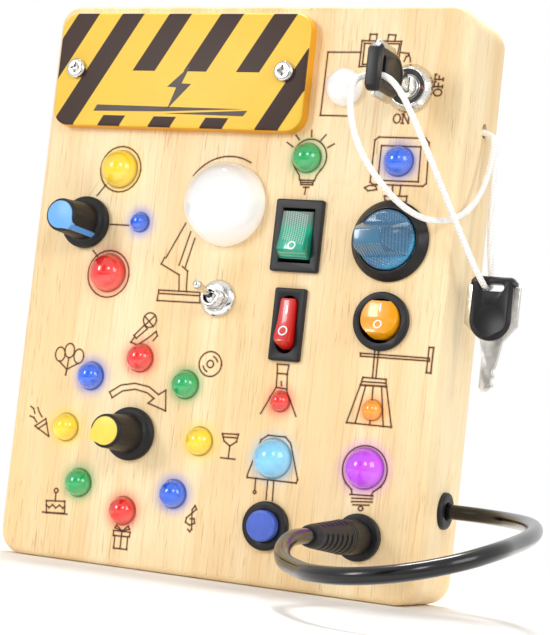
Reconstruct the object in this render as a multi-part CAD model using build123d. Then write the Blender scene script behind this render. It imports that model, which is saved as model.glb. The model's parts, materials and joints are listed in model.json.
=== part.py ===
"""Wooden busy board: a hollow pine board with switches, knobs, lamps, a jack lead and a key switch.

Units are millimetres. The origin is the centre of the bottom face, +X to the right seen from the
front, +Z up, and the front face looks along -Y. Pieces of the front are drawn in a local frame whose
origin lies on the front face, with local X to the right, local Y up and local Z out of the board, so
a height below zero is inside the board.
"""

import os
from math import cos, pi, radians, sin, tan

from build123d import *

# ---------------------------------------------------------------- board
BOARD_WIDTH = 193
BOARD_HEIGHT = 241
BOARD_DEPTH = 42
CORNER_RADIUS = 10
INNER_CORNER = 3
EDGE_ROUND = 3
FRONT_WALL = 9
SIDE_WALL = 10
BACK_PANEL_THICKNESS = 4
BACK_LEDGE = 5
SEAT_GAP = 0.1
PANEL_GAP = 0.3
RUNNING_GAP = 0.05
SOFT_GAP = 0.3
OVERCUT = 2
TAB_WIDTH = 4
TAB_LENGTH = 5
TAB_THICKNESS = 0.8
WIDE_TAB_WIDTH = 4.8
WIDE_TAB_PITCH = 6
LEAD_RADIUS = 0.4
LEAD_LENGTH = 4
CROSS_SLOT = (3.2, 0.6)
CROSS_SLOT_DEPTH = 1

# ---------------------------------------------------------------- places on the front face (x, z)
FRONT_Y = -BOARD_DEPTH / 2
SIDE_X = BOARD_WIDTH / 2
EDGE_TO_COLUMN_4 = 25.9
EDGE_TO_LOCK = 24.3
EDGE_TO_KNOB = 25.9
TOP_TO_LOCK = 35
COLUMN_3 = 0.1554 * BOARD_WIDTH
COLUMN_4 = SIDE_X - EDGE_TO_COLUMN_4
ROW_LAMPS = 0.7315 * BOARD_HEIGHT
ROW_SELECTOR = 0.5963 * BOARD_HEIGHT
ROW_ROCKER = 0.444 * BOARD_HEIGHT
ROW_ROUND_ROCKER = 0.4614 * BOARD_HEIGHT
ROW_SMALL_LAMPS = 0.3137 * BOARD_HEIGHT
ROW_DOMES = 0.2166 * BOARD_HEIGHT
ROW_PLUG = 24.8
POINTER_KNOB_AT = (EDGE_TO_KNOB - SIDE_X, 0.5996 * BOARD_HEIGHT)
RING_KNOB_AT = (-0.1917 * BOARD_WIDTH, 56)
TOGGLE_AT = (-0.0181 * BOARD_WIDTH, 0.4801 * BOARD_HEIGHT)
LOCK_AT = (SIDE_X - EDGE_TO_LOCK, BOARD_HEIGHT - TOP_TO_LOCK)

# ---------------------------------------------------------------- sign plate
SIGN_WIDTH = BOARD_WIDTH - 73.5
SIGN_HEIGHT = 0.2064 * BOARD_HEIGHT
SIGN_MARGIN = 5.3
SIGN_AT = (SIGN_MARGIN - SIDE_X + SIGN_WIDTH / 2, BOARD_HEIGHT - SIGN_MARGIN - SIGN_HEIGHT / 2)
SIGN_THICKNESS = 6
SIGN_CORNER = 7.5
SIGN_EDGE_ROUND = 1.2
SIGN_SCREW_INSET = 10
SIGN_SCREW_RADIUS = 1.6
SIGN_SCREW_GRIP = 7
SIGN_HEAD_RADIUS = 4.4
SIGN_HEAD_HEIGHT = 2.6
SIGN_HEAD_ROUND = 1.55
SIGN_HEAD_CROSS = (4.8, 0.9)
SIGN_CROSS_DEPTH = 1.4

# ---------------------------------------------------------------- lamps
BIG_DOME_RADIUS = 18
DOME_RADIUS = 8
LAMP_RADIUS = 6
SMALL_LAMP_RADIUS = 4
BIG_DOME_AT = (-0.0233 * BOARD_WIDTH, 0.6452 * BOARD_HEIGHT)
YELLOW_DOME_AT = (-0.2974 * BOARD_WIDTH, 0.6992 * BOARD_HEIGHT)
RED_DOME_AT = (-0.2974 * BOARD_WIDTH, 0.5125 * BOARD_HEIGHT)
WHITE_DOME_AT = (COLUMN_4 - 27.1, LOCK_AT[1])
LIGHT_BLUE_DOME_AT = (COLUMN_3 - 0.5, ROW_DOMES)
PURPLE_DOME_AT = (COLUMN_4 - 0.7, ROW_DOMES)
SMALL_BLUE_LAMP_AT = (-0.2317 * BOARD_WIDTH, POINTER_KNOB_AT[1] + 1.5)
RING_LAMP_RADIUS = 5.75
RING_LAMP_COUNT = 8
RING_LAMP_CIRCLE = 32.3
LENS_COLLAR = 0.8
LENS_LEDGE = 1.2
LAMP_TAIL = 3

# ---------------------------------------------------------------- knobs on potentiometers
KNOB_LIFT = 0.6
KNOB_HEIGHT = 23
KNOB_SKIRT_RADIUS = 11.25
KNOB_SKIRT_THICKNESS = 3.2
KNOB_SKIRT_BEVEL = 1
KNOB_ROOT_RADIUS = 7.9
KNOB_TOP_RADIUS = 7.1
KNOB_TOP_BEVEL = 0.8
KNOB_FLUTES = 18
KNOB_FLUTE_RADIUS = 0.55
KNOB_FLUTE_OFFSET = 0.15
CAP_RADIUS = 5.35
CAP_THICKNESS = 2
POINTER_WIDTH = 2.2
POINTER_TOP_REACH = 7.2
POINTER_FOOT_REACH = 9.2
POINTER_FOOT_HEIGHT = 4.6
POINTER_DEPTH = 1.8
POINTER_FOOT_DEPTH = 3.2
POINTER_KNOB_ANGLE = -43
RING_KNOB_ANGLE = 205
SHAFT_RADIUS = 3
SHAFT_GRIP = 14
BUSHING_RADIUS = 3.5
POT_RADIUS = 8.5
POT_DEPTH = 8.5
POT_LUG_WIDTH = 1
POT_LUG_LENGTH = 10
POT_LUG_PITCH = 4
POT_NUT_ACROSS = 10
POT_NUT_THICKNESS = 2
NUT_WALL = 2.5
NUT_THICKNESS = 3
COUNTERBORE_RADIUS = 6.8
COUNTERBORE_DEPTH = 3

# ---------------------------------------------------------------- toggle switch
TOGGLE_RING_RADIUS = 8
TOGGLE_RING_HEIGHT = 3
TOGGLE_RING_ROUND = 2.2
TOGGLE_BUSHING_RADIUS = 4
TOGGLE_BORE_RADIUS = 2.75
TOGGLE_BUSHING_BEVEL = 0.5
TOGGLE_BUSHING_REACH = 9
TOGGLE_PIVOT = 6
TOGGLE_TILT = 13.4
TOGGLE_LEVER_REACH = 22.4
TOGGLE_TIP_RADIUS = 2
TOGGLE_NECK_RADIUS = 1.25
TOGGLE_NECK_LENGTH = 3
TOGGLE_BODY = (13, 20, 12)

# ---------------------------------------------------------------- rocker switches
ROCKER_TILT = 12
ROCKER_PIVOT_DEPTH = 3
ROCKER_PIN_RADIUS = 1.2
ROCKER_PIN_GRIP = 1.2
ROCKER_GAP = 0.4
ROCKER_SINK = 6
ROCKER_TUCK = 1.2
ROCKER_KEEL = 5
ROCKER_KEEL_DEPTH = 1.5
ROCKER_TAPER = 5
ROCKER_WELL_CLEARANCE = 2.5
BEZEL_HEIGHT = 2.2
BEZEL_CORNER = 1
BEZEL_ROUND = 0.7
HOUSING_DEPTH = 22
HOUSING_WALL = 1.5
HOUSING_FLOOR = 3
GREEN_BEZEL = (21.5, 30)
GREEN_WINDOW = (14.5, 22.6)
GREEN_HEIGHTS = (5.2, 4.2)
GREEN_SLOPE = 2.3
RED_BEZEL = (14, 30)
RED_WINDOW = (8.3, 23.7)
RED_HEIGHTS = (5.2, 4.2)
RED_SLOPE = 2
ROUND_BEZEL_RADIUS = 11.9
ROUND_WINDOW_RADIUS = 9
ROUND_HEIGHTS = (4.6, 3.6)
ROUND_SLOPE = 1.6

# ---------------------------------------------------------------- selector
SELECTOR_RADIUS = 16.6
SELECTOR_RIM_HEIGHT = 2.2
SELECTOR_RIM_BEVEL = 1
SELECTOR_CROWN_RADIUS = 13.6
SELECTOR_CROWN_HEIGHT = 4.6
SELECTOR_WELL_FLOOR = 1.4
SELECTOR_KNOB_RADIUS = 12.2
SELECTOR_DISC_TOP = 6.2
SELECTOR_DISC_ROUND = 1.4
SELECTOR_HANDLE_TOP = 14
SELECTOR_HANDLE_WIDTH = 6
SELECTOR_HANDLE_FOOT = 18
SELECTOR_HANDLE_FALL = 1
SELECTOR_HANDLE_DRAFT = 1.2
SELECTOR_HANDLE_INSET = 0.5
SELECTOR_HANDLE_ROUND = 0.8
SELECTOR_ANGLE = 183.5
SELECTOR_SHAFT_RADIUS = 4
SELECTOR_BARREL_RADIUS = 11
SELECTOR_BARREL_DEPTH = 24

# ---------------------------------------------------------------- push button
BUTTON_RING_RADIUS = 10
BUTTON_RING_HEIGHT = 3
BUTTON_RING_ROUND = 1
BUTTON_CAP_RADIUS = 6.35
BUTTON_CAP_REACH = 6.6
BUTTON_CAP_SINK = 3
BUTTON_CAP_ROUND = 0.9
BUTTON_CAP_FLANGE = 0.9
BUTTON_FLANGE_THICKNESS = 1.5
BUTTON_TRAVEL = 2.5
BUTTON_BARREL_RADIUS = 8.6
BUTTON_BARREL_DEPTH = 20
BUTTON_WELL_DEPTH = 12
BUTTON_SPRING_RADIUS = 4.4
BUTTON_SPRING_WIRE = 0.4
BUTTON_SPRING_TURNS = 5

# ---------------------------------------------------------------- key switch and keys
LOCK_RADIUS = 10
LOCK_RIM_HEIGHT = 1
LOCK_CROWN_RADIUS = 7.9
LOCK_CROWN_HEIGHT = 4
LOCK_CROWN_WIDTH = 0.5
LOCK_DISH_RADIUS = 5.4
LOCK_DISH_HEIGHT = 3
LOCK_PLUG_RADIUS = 4.8
LOCK_PLUG_REACH = 4.4
LOCK_PLUG_BEVEL = 0.4
LOCK_PLUG_DEPTH = 18
LOCK_BARREL_RADIUS = 7.5
LOCK_BARREL_DEPTH = 22
KEY_PLATE_WIDTH = 22
KEY_PLATE_THICKNESS = 2
KEY_PLATE_FOOT = 6.5
KEY_BOW_LENGTH = 25.6
KEY_BOW_WIDTH = 18.5
KEY_BOW_THICKNESS = 6
KEY_BAR_HEIGHT = 3.6
KEY_BAR_PROUD = 0.75
KEY_CORNER_CUT = 1.8
KEY_FACE_BEVEL = 1
KEY_SLOT = (10, 3.1)
KEY_SLOT_HEIGHT = 21.2
KEY_DISC_RADIUS = 6.3
KEY_DISC_HEIGHT = 8.6
KEY_DISC_DEPTH = 0.3
BLADE_LENGTH = 20
BLADE_BACK = 2.2
BLADE_SHOULDER = 5.6
BLADE_EDGE = 3.6
BLADE_EXPOSED = 11
BLADE_LEAD = 0.5
BLADE_TIP = 1.6
BLADE_NOSE = 1
BLADE_CUTS = (2.6, 3.4, 2.3, 3.2)
SPARE_KEY_AT = (SIDE_X + 15.6, FRONT_Y + 12, BOARD_HEIGHT - 133.4)

# ---------------------------------------------------------------- jack socket, plug and cable
SOCKET_RADIUS = 9.5
SOCKET_REACH = 3
SOCKET_ROUND = 0.8
SOCKET_BARREL_RADIUS = 7
SOCKET_DEPTH = 20
SOCKET_WELL_DEPTH = 11
JACK_RADIUS = 2.75
JACK_BORE_RADIUS = 1.1
JACK_LENGTH = 9.5
CENTRE_PIN_RADIUS = 0.9
GRIP_RADIUS = 6.85
GRIP_LENGTH = 17
GRIP_RIBS = 24
GRIP_GROOVE_RADIUS = 0.4
GRIP_GROOVE_OFFSET = 0.15
BOOT_END = 50
BOOT_RINGS = 6
BOOT_END_RADIUS = 4.2
BOOT_COLLAR = 4
BOOT_GROOVE = 0.9
CABLE_RADIUS = 3
GROMMET_AT = (FRONT_Y + 22.8, 38.8)
GROMMET_RADIUS = 7.5
GROMMET_REACH = 2
GROMMET_ROUND = 0.8
GROMMET_BARREL_RADIUS = 5
CORD_RADIUS = 1.25
CORD_HOLE_AT = (FRONT_Y + 24.8, LOCK_AT[1] - 11.7)
CORD_HOLE_RADIUS = 3
KNOT_RADIUS = 4.2

# ---------------------------------------------------------------- batteries and circuit board
BATTERY_RADIUS = 7.25
BATTERY_LENGTH = 50.5
BATTERY_COUNT = 3
BATTERY_GAP = 0.4
BATTERY_EDGE_ROUND = 0.6
BATTERY_NUB_RADIUS = 2.6
BATTERY_NUB_HEIGHT = 1
CONTACT_SIZE = (11, 12)
CONTACT_THICKNESS = 0.4
CONTACT_SPRING_LENGTH = 6
CONTACT_SPRING_TURNS = 5
CONTACT_SPRING_RADIUS = 4.6
CONTACT_SPRING_STEP = 0.6
CONTACT_SPRING_GROOVE = 0.5
TRAY_AT = (-0.1811 * BOARD_WIDTH, BOARD_HEIGHT - 40)
TRAY_WALL = 1.6
TRAY_BOSS = 8
DOOR_THICKNESS = 3
DOOR_GAP = 0.4
DOOR_PIN_RADIUS = 0.9
DOOR_PIN_LENGTH = 3
DOOR_SCREW_RADIUS = 1.25
DOOR_SCREW_LENGTH = 5
DOOR_SCREW_HEAD = 2.6
DOOR_SCREW_SLACK = 0.6
CIRCUIT_SIZE = (110, 80)
CIRCUIT_AT = (0, 0.3402 * BOARD_HEIGHT)
CIRCUIT_THICKNESS = 1.6
CHIP_SIZE = 12
CHIP_HEIGHT = 1.4
CONNECTOR_SIZE = (8, 5)
CONNECTOR_HEIGHT = 3
CONNECTOR_SHARES = ((-0.27, 0.22), (-0.27, 0.05), (0.2, -0.18), (0.2, 0.1))
CAPACITOR_RADIUS = 2.6
CAPACITOR_HEIGHT = 3.4
CAPACITOR_SHARES = ((-0.11, 0.3), (0.11, 0.3), (0.33, 0.3))
STANDOFF_HEIGHT = 4
STANDOFF_RADIUS = 3
STANDOFF_PIN_RADIUS = 1.5
STANDOFF_INSET = 5
BACK_SCREW_RADIUS = 1.25
BACK_SCREW_LENGTH = 14
BACK_SCREW_HEAD = 2.5
BACK_SCREW_FROM_CORNER = 14

# ---------------------------------------------------------------- worked out from the above
BACK = -BOARD_DEPTH
BACK_PANEL_FACE = BACK + BACK_PANEL_THICKNESS
TRAY_INSIDE_LENGTH = BATTERY_LENGTH + CONTACT_SPRING_LENGTH + 2 * CONTACT_THICKNESS
BATTERY_PITCH = 2 * BATTERY_RADIUS + BATTERY_GAP
TRAY_INSIDE_HEIGHT = BATTERY_COUNT * BATTERY_PITCH + TRAY_BOSS
TRAY_INSIDE_DEPTH = 2 * BATTERY_RADIUS + BATTERY_GAP
BATTERY_HEIGHT = BACK_PANEL_FACE + TRAY_INSIDE_DEPTH / 2
LOCK_KEY_SHOULDER = LOCK_PLUG_REACH + BLADE_EXPOSED
KEY_SLOT_Y = FRONT_Y - LOCK_KEY_SHOULDER - KEY_SLOT_HEIGHT
POINTS_TO_LOWER = -ROCKER_TILT

def low_point(x, y, z):
    """A point given from the right-hand side face, the front face and the bottom."""
    return SIDE_X + x, FRONT_Y + y, z


def high_point(x, y, z):
    """A point given from the right-hand side face, the front face and the lock's height."""
    return SIDE_X + x, FRONT_Y + y, LOCK_AT[1] + z


# Centrelines of the cords, from one end to the other.
CABLE_ROUTE = [
    (COLUMN_4, FRONT_Y - BOOT_END, ROW_PLUG),
    (COLUMN_4, FRONT_Y - BOOT_END - 14, ROW_PLUG),
    low_point(-21.7, -82, 20.8),
    low_point(-13.1, -98.7, 17),
    low_point(-1.3, -113.6, 15.9),
    low_point(10.8, -128.8, 15.7),
    low_point(27.8, -136.2, 16.7),
    low_point(46, -134.6, 20.1),
    low_point(60.5, -124.1, 25.2),
    low_point(67.4, -107.7, 29.9),
    low_point(66, -88.5, 31.7),
    low_point(64.6, -69.5, 33.7),
    low_point(61.2, -51, 35.5),
    low_point(55.9, -32.9, 36.9),
    low_point(48.4, -15.7, 37.9),
    low_point(38.8, 0.6, 38.3),
    low_point(27, 15.9, 38.5),
    (SIDE_X + 12, *GROMMET_AT),
    (SIDE_X - 6, *GROMMET_AT),
]
CORD_ROUTE = [
    (SIDE_X - SIDE_WALL, CORD_HOLE_AT[0] - 1.4, CORD_HOLE_AT[1]),
    (SIDE_X + 3.6, CORD_HOLE_AT[0] - 1.4, CORD_HOLE_AT[1]),
    high_point(5.7, 21.4, -18.7),
    high_point(6.3, 17.8, -29.7),
    high_point(5.1, 11.4, -42.4),
    high_point(1.6, 1.6, -51.6),
    high_point(-6, -10, -55.2),
    high_point(-11.9, -25, -52.4),
    high_point(-16.9, -39, -45.2),
    high_point(-22.9, -45.5, -35.6),
    high_point(-28.2, -46, -24.4),
    high_point(-31.2, -43.6, -13.6),
    high_point(-32, -39.4, -5.6),
    (LOCK_AT[0] - 4.6, KEY_SLOT_Y, LOCK_AT[1] - 2.7),
    (LOCK_AT[0] + 7.1, KEY_SLOT_Y, LOCK_AT[1] - 2.8),
    high_point(-8.6, -25.6, -21.4),
    high_point(12.2, 5.5, -77.2),
    high_point(12.2, 18.4, -77.2),
    high_point(11.5, 17.6, -70),
    high_point(9.1, 18, -54),
    high_point(7, 22, -34),
    high_point(5.1, 26, -19),
    (SIDE_X + 3.8, CORD_HOLE_AT[0] + 1.4, CORD_HOLE_AT[1]),
    (SIDE_X - SIDE_WALL, CORD_HOLE_AT[0] + 1.4, CORD_HOLE_AT[1]),
]
# Corners of the cord that are folds at the keys' slots, with their radii.
CORD_FOLDS = {13: 3.4, 14: 5.4, 16: 3, 17: 2.6}


# ================================================================ placing and basic solids
def face(x, z):
    """Local frame of a piece on the front face."""
    return Plane(origin=(x, FRONT_Y, z), x_dir=(1, 0, 0), z_dir=(0, -1, 0)).location


def side(y, z):
    """Local frame of a piece on the right-hand side face, local Z out of the board."""
    return Plane(origin=(SIDE_X, y, z), x_dir=(0, 1, 0), z_dir=(1, 0, 0)).location


def disc(radius, low, high):
    """A round solid about local Z between two heights."""
    return Pos(0, 0, low) * Cylinder(radius, high - low, align=(Align.CENTER, Align.CENTER, Align.MIN))


def block(width, height, low, high, corner=0):
    """A rectangular solid centred on local Z, with rounded upright corners where wanted."""
    outline = RectangleRounded(width, height, corner) if corner else Rectangle(width, height)
    return Pos(0, 0, low) * extrude(outline, high - low)


def turned(points):
    """A solid of revolution about local Z from (radius, height) points."""
    outline = Plane.XZ * make_face(Polyline(*points, close=True))
    return revolve(outline, Axis.Z)


def hexagon(across, bore, low, high):
    """A hexagon nut about local Z."""
    outline = RegularPolygon(across / 2, 6, major_radius=False)
    nut = Pos(0, 0, low) * Rot(0, 0, 30) * extrude(outline, high - low)
    return nut - disc(bore, low - OVERCUT, high + OVERCUT)


def tabs(rows, width, low):
    """Flat contact tabs that stand below a height, one at each distance from the middle."""
    return [Pos(0, row, 0) * block(width, TAB_THICKNESS, low - TAB_LENGTH, low) for row in rows]


def rim(solid, top=True):
    """The edges of a solid's highest or lowest flat face."""
    return solid.edges().group_by(Axis.Z)[-1 if top else 0]


def joined(solids):
    """Separate solids held in one node."""
    return Compound(children=list(solids))


# ================================================================ places that several pieces share
def lamp_list():
    """Centre and lens radius of each lamp with a node of its own."""
    return {
        "yellow_dome": (YELLOW_DOME_AT, DOME_RADIUS),
        "red_dome": (RED_DOME_AT, DOME_RADIUS),
        "white_dome": (WHITE_DOME_AT, DOME_RADIUS),
        "light_blue_dome": (LIGHT_BLUE_DOME_AT, DOME_RADIUS),
        "purple_dome": (PURPLE_DOME_AT, DOME_RADIUS),
        "green_lamp": ((COLUMN_3, ROW_LAMPS), LAMP_RADIUS),
        "blue_lamp": ((COLUMN_4, ROW_LAMPS), LAMP_RADIUS),
        "small_blue_lamp": (SMALL_BLUE_LAMP_AT, SMALL_LAMP_RADIUS),
        "small_red_lamp": ((COLUMN_3, ROW_SMALL_LAMPS), SMALL_LAMP_RADIUS),
        "orange_lamp": ((COLUMN_4, ROW_SMALL_LAMPS), SMALL_LAMP_RADIUS),
        "big_dome": (BIG_DOME_AT, BIG_DOME_RADIUS),
    }


def ring_lamp_places():
    """Centres of the lamps on the circle about the ring knob, clockwise from the top."""
    for index in range(RING_LAMP_COUNT):
        turn = pi / 2 - 2 * pi * index / RING_LAMP_COUNT
        x = RING_KNOB_AT[0] + RING_LAMP_CIRCLE * cos(turn)
        z = RING_KNOB_AT[1] + RING_LAMP_CIRCLE * sin(turn)
        yield x, z


def sign_screw_places():
    """Centres of the two screws of the sign."""
    reach = SIGN_WIDTH / 2 - SIGN_SCREW_INSET
    return [(SIGN_AT[0] + way * reach, SIGN_AT[1]) for way in (-1, 1)]


def back_screw_places():
    """Centres of the back panel's screws, over the middle of the ledge round the cavity."""
    x = SIDE_X - (SIDE_WALL + BACK_LEDGE) / 2
    low = (SIDE_WALL + BACK_LEDGE) / 2 + BACK_SCREW_FROM_CORNER
    return [(way * x, z) for way in (-1, 1) for z in (low, BOARD_HEIGHT / 2, BOARD_HEIGHT - low)]


def standoff_places():
    """Centres of the circuit board's four standoffs."""
    x = CIRCUIT_SIZE[0] / 2 - STANDOFF_INSET
    z = CIRCUIT_SIZE[1] / 2 - STANDOFF_INSET
    return [(CIRCUIT_AT[0] + a * x, CIRCUIT_AT[1] + b * z) for a in (-1, 1) for b in (-1, 1)]


def housing_size(window, gap):
    """Outer size of a rocker's housing behind its bezel."""
    return [size + 2 * (gap + HOUSING_WALL) for size in window]


def stem_radius(lens_radius):
    """Radius of a lamp's stem through the front wall."""
    return lens_radius - LENS_LEDGE


# ================================================================ board
def front_holes():
    """Everything that is cut through the front wall, as one list of solids in the board's frame."""
    low = -FRONT_WALL - OVERCUT
    lamps = list(lamp_list().values())
    lamps += [(place, RING_LAMP_RADIUS) for place in ring_lamp_places()]
    for place, radius in lamps:
        yield face(*place) * disc(stem_radius(radius) + SEAT_GAP, low, OVERCUT)
    for place in (POINTER_KNOB_AT, RING_KNOB_AT):
        yield face(*place) * disc(BUSHING_RADIUS + SEAT_GAP, low, OVERCUT)
        yield face(*place) * disc(COUNTERBORE_RADIUS, -COUNTERBORE_DEPTH, OVERCUT)
    for place, radius in (
        (TOGGLE_AT, TOGGLE_BUSHING_RADIUS),
        (LOCK_AT, LOCK_BARREL_RADIUS),
        ((COLUMN_4, ROW_SELECTOR), SELECTOR_BARREL_RADIUS),
        ((COLUMN_3, ROW_PLUG), BUTTON_BARREL_RADIUS),
        ((COLUMN_4, ROW_PLUG), SOCKET_BARREL_RADIUS),
        ((COLUMN_4, ROW_ROUND_ROCKER), ROUND_WINDOW_RADIUS + HOUSING_WALL),
    ):
        yield face(*place) * disc(radius + SEAT_GAP, low, OVERCUT)
    for window, row in ((GREEN_WINDOW, ROW_SELECTOR), (RED_WINDOW, ROW_ROCKER)):
        width, height = housing_size(window, SEAT_GAP)
        yield face(COLUMN_3, row) * block(width, height, low, OVERCUT)
    for place in sign_screw_places():
        yield face(*place) * disc(SIGN_SCREW_RADIUS, -SIGN_SCREW_GRIP, OVERCUT)


def side_holes():
    """The cord's hole and the cable grommet's hole through the right-hand wall."""
    low = -SIDE_WALL - OVERCUT
    yield side(*CORD_HOLE_AT) * disc(CORD_HOLE_RADIUS, low, OVERCUT)
    yield side(*GROMMET_AT) * disc(GROMMET_BARREL_RADIUS + SEAT_GAP, low, OVERCUT)


def board_shell():
    """Pine box: front wall and four sides, open at the back with a ledge for the back panel."""
    shell = block(BOARD_WIDTH, BOARD_HEIGHT, BACK, 0, CORNER_RADIUS)
    shell = fillet(rim(shell) + rim(shell, top=False), EDGE_ROUND)
    shell -= block(
        BOARD_WIDTH - 2 * SIDE_WALL,
        BOARD_HEIGHT - 2 * SIDE_WALL,
        BACK - OVERCUT,
        -FRONT_WALL,
        INNER_CORNER,
    )
    shell -= block(
        BOARD_WIDTH - 2 * (SIDE_WALL - BACK_LEDGE),
        BOARD_HEIGHT - 2 * (SIDE_WALL - BACK_LEDGE),
        BACK - OVERCUT,
        BACK_PANEL_FACE,
        INNER_CORNER,
    )
    shell = face(0, BOARD_HEIGHT / 2) * shell
    for hole in list(front_holes()) + list(side_holes()):
        shell -= hole
    for place in back_screw_places():
        low = BACK + BACK_SCREW_LENGTH
        shell -= face(*place) * disc(BACK_SCREW_RADIUS, BACK, low)
    return shell


def back_screw(extra=0):
    """A countersunk screw from the back, head flush; extra widens it to cut its seat."""
    head = BACK_SCREW_HEAD + extra
    shank = BACK_SCREW_RADIUS + extra
    return turned(
        [
            (0, BACK),
            (head, BACK),
            (shank, BACK + head - shank),
            (shank, BACK + BACK_SCREW_LENGTH),
            (0, BACK + BACK_SCREW_LENGTH),
        ]
    )


def back_panel():
    """Plywood panel in the rebate, with the battery door's opening."""
    gap = SIDE_WALL - BACK_LEDGE + PANEL_GAP
    panel = block(BOARD_WIDTH - 2 * gap, BOARD_HEIGHT - 2 * gap, BACK, BACK_PANEL_FACE, INNER_CORNER)
    panel = face(0, BOARD_HEIGHT / 2) * panel
    opening = block(TRAY_INSIDE_LENGTH, TRAY_INSIDE_HEIGHT, BACK - OVERCUT, BACK_PANEL_FACE + OVERCUT)
    panel -= face(*TRAY_AT) * opening
    panel -= door_pins(DOOR_PIN_RADIUS + RUNNING_GAP, DOOR_PIN_LENGTH + PANEL_GAP)
    for place in back_screw_places():
        panel -= face(*place) * back_screw(SEAT_GAP)
    for place in standoff_places():
        panel -= face(*place) * disc(STANDOFF_PIN_RADIUS, BACK - OVERCUT, BACK_PANEL_FACE + OVERCUT)
    return panel


def back_panel_screws():
    """Six countersunk screws of the back panel, with cross slots."""
    long, narrow = CROSS_SLOT
    slot = block(long, narrow, BACK - OVERCUT, BACK + CROSS_SLOT_DEPTH)
    slot += Rot(0, 0, 90) * slot
    return joined(face(*place) * (back_screw() - slot) for place in back_screw_places())


# ================================================================ sign
def sign_plate():
    """Thick plate with rounded corners, screwed to the front."""
    plate = block(SIGN_WIDTH, SIGN_HEIGHT, 0, SIGN_THICKNESS, SIGN_CORNER)
    plate = face(*SIGN_AT) * fillet(rim(plate), SIGN_EDGE_ROUND)
    for place in sign_screw_places():
        plate -= face(*place) * disc(SIGN_SCREW_RADIUS + SEAT_GAP, -OVERCUT, SIGN_THICKNESS + OVERCUT)
    return plate


def sign_screw():
    """Pan-head screw with a cross recess."""
    shank = disc(SIGN_SCREW_RADIUS, -SIGN_SCREW_GRIP, SIGN_THICKNESS)
    head = disc(SIGN_HEAD_RADIUS, SIGN_THICKNESS, SIGN_THICKNESS + SIGN_HEAD_HEIGHT)
    head = fillet(rim(head), SIGN_HEAD_ROUND)
    top = SIGN_THICKNESS + SIGN_HEAD_HEIGHT
    recess = block(*SIGN_HEAD_CROSS, top - SIGN_CROSS_DEPTH, top + OVERCUT)
    recess += Rot(0, 0, 90) * recess
    return shank + head - recess


def sign_screws():
    """The two screws of the sign."""
    return joined(face(*place) * sign_screw() for place in sign_screw_places())


# ================================================================ lamps
def lamp(lens_radius):
    """Domed lens on a short collar, with its stem through the front wall and two leads."""
    lens = disc(lens_radius, 0, LENS_COLLAR)
    ball = Pos(0, 0, LENS_COLLAR) * Sphere(lens_radius)
    lens += ball & disc(lens_radius + OVERCUT, LENS_COLLAR, lens_radius + 2 * LENS_COLLAR)
    tail = -FRONT_WALL - LAMP_TAIL
    stem = disc(stem_radius(lens_radius), tail, 0)
    for way in (-1, 1):
        lead = disc(LEAD_RADIUS, tail - LEAD_LENGTH, tail)
        stem += Pos(way * stem_radius(lens_radius) / 2, 0, 0) * lead
    return lens + stem


def ring_lamps():
    """The eight equal lamps round the ring knob."""
    return joined(face(*place) * lamp(RING_LAMP_RADIUS) for place in ring_lamp_places())


def single_lamp(name):
    """One of the lamps that has a node of its own."""
    place, radius = lamp_list()[name]
    return face(*place) * lamp(radius)


# ================================================================ potentiometers and knobs
def pot_body():
    """Potentiometer can behind the wall, with its bushing and three lugs."""
    can = disc(POT_RADIUS, -FRONT_WALL - POT_DEPTH, -FRONT_WALL)
    can += disc(BUSHING_RADIUS, -FRONT_WALL, -COUNTERBORE_DEPTH + POT_NUT_THICKNESS + KNOB_LIFT)
    for way in (-1, 0, 1):
        seat = -FRONT_WALL - TAB_THICKNESS
        lug = block(POT_LUG_WIDTH, POT_LUG_LENGTH, seat - TAB_THICKNESS, seat)
        can += Pos(way * POT_LUG_PITCH, -POT_RADIUS, 0) * lug
    bore_end = -SHAFT_GRIP - RUNNING_GAP
    return can - disc(SHAFT_RADIUS + RUNNING_GAP, bore_end, OVERCUT)


def pot_bodies():
    """Both potentiometers."""
    return joined(face(*place) * pot_body() for place in (POINTER_KNOB_AT, RING_KNOB_AT))


def pot_shaft():
    """Shaft that runs in the bushing and carries the knob."""
    return disc(SHAFT_RADIUS, -SHAFT_GRIP, KNOB_HEIGHT - 2 * CAP_THICKNESS - SEAT_GAP)


def pointer_bar(extra=0):
    """Radial bar of the cap that runs down the knob's side as its pointer."""
    top = KNOB_HEIGHT + extra
    outline = make_face(
        Polyline(
            (0, KNOB_HEIGHT - CAP_THICKNESS),
            (0, top),
            (POINTER_TOP_REACH + extra, top),
            (POINTER_FOOT_REACH + extra, POINTER_FOOT_HEIGHT),
            (POINTER_FOOT_REACH - POINTER_FOOT_DEPTH, POINTER_FOOT_HEIGHT),
            (POINTER_TOP_REACH - POINTER_DEPTH, KNOB_HEIGHT - CAP_THICKNESS),
            close=True,
        )
    )
    return extrude(Plane.XZ * outline, POINTER_WIDTH / 2, both=True)


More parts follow.
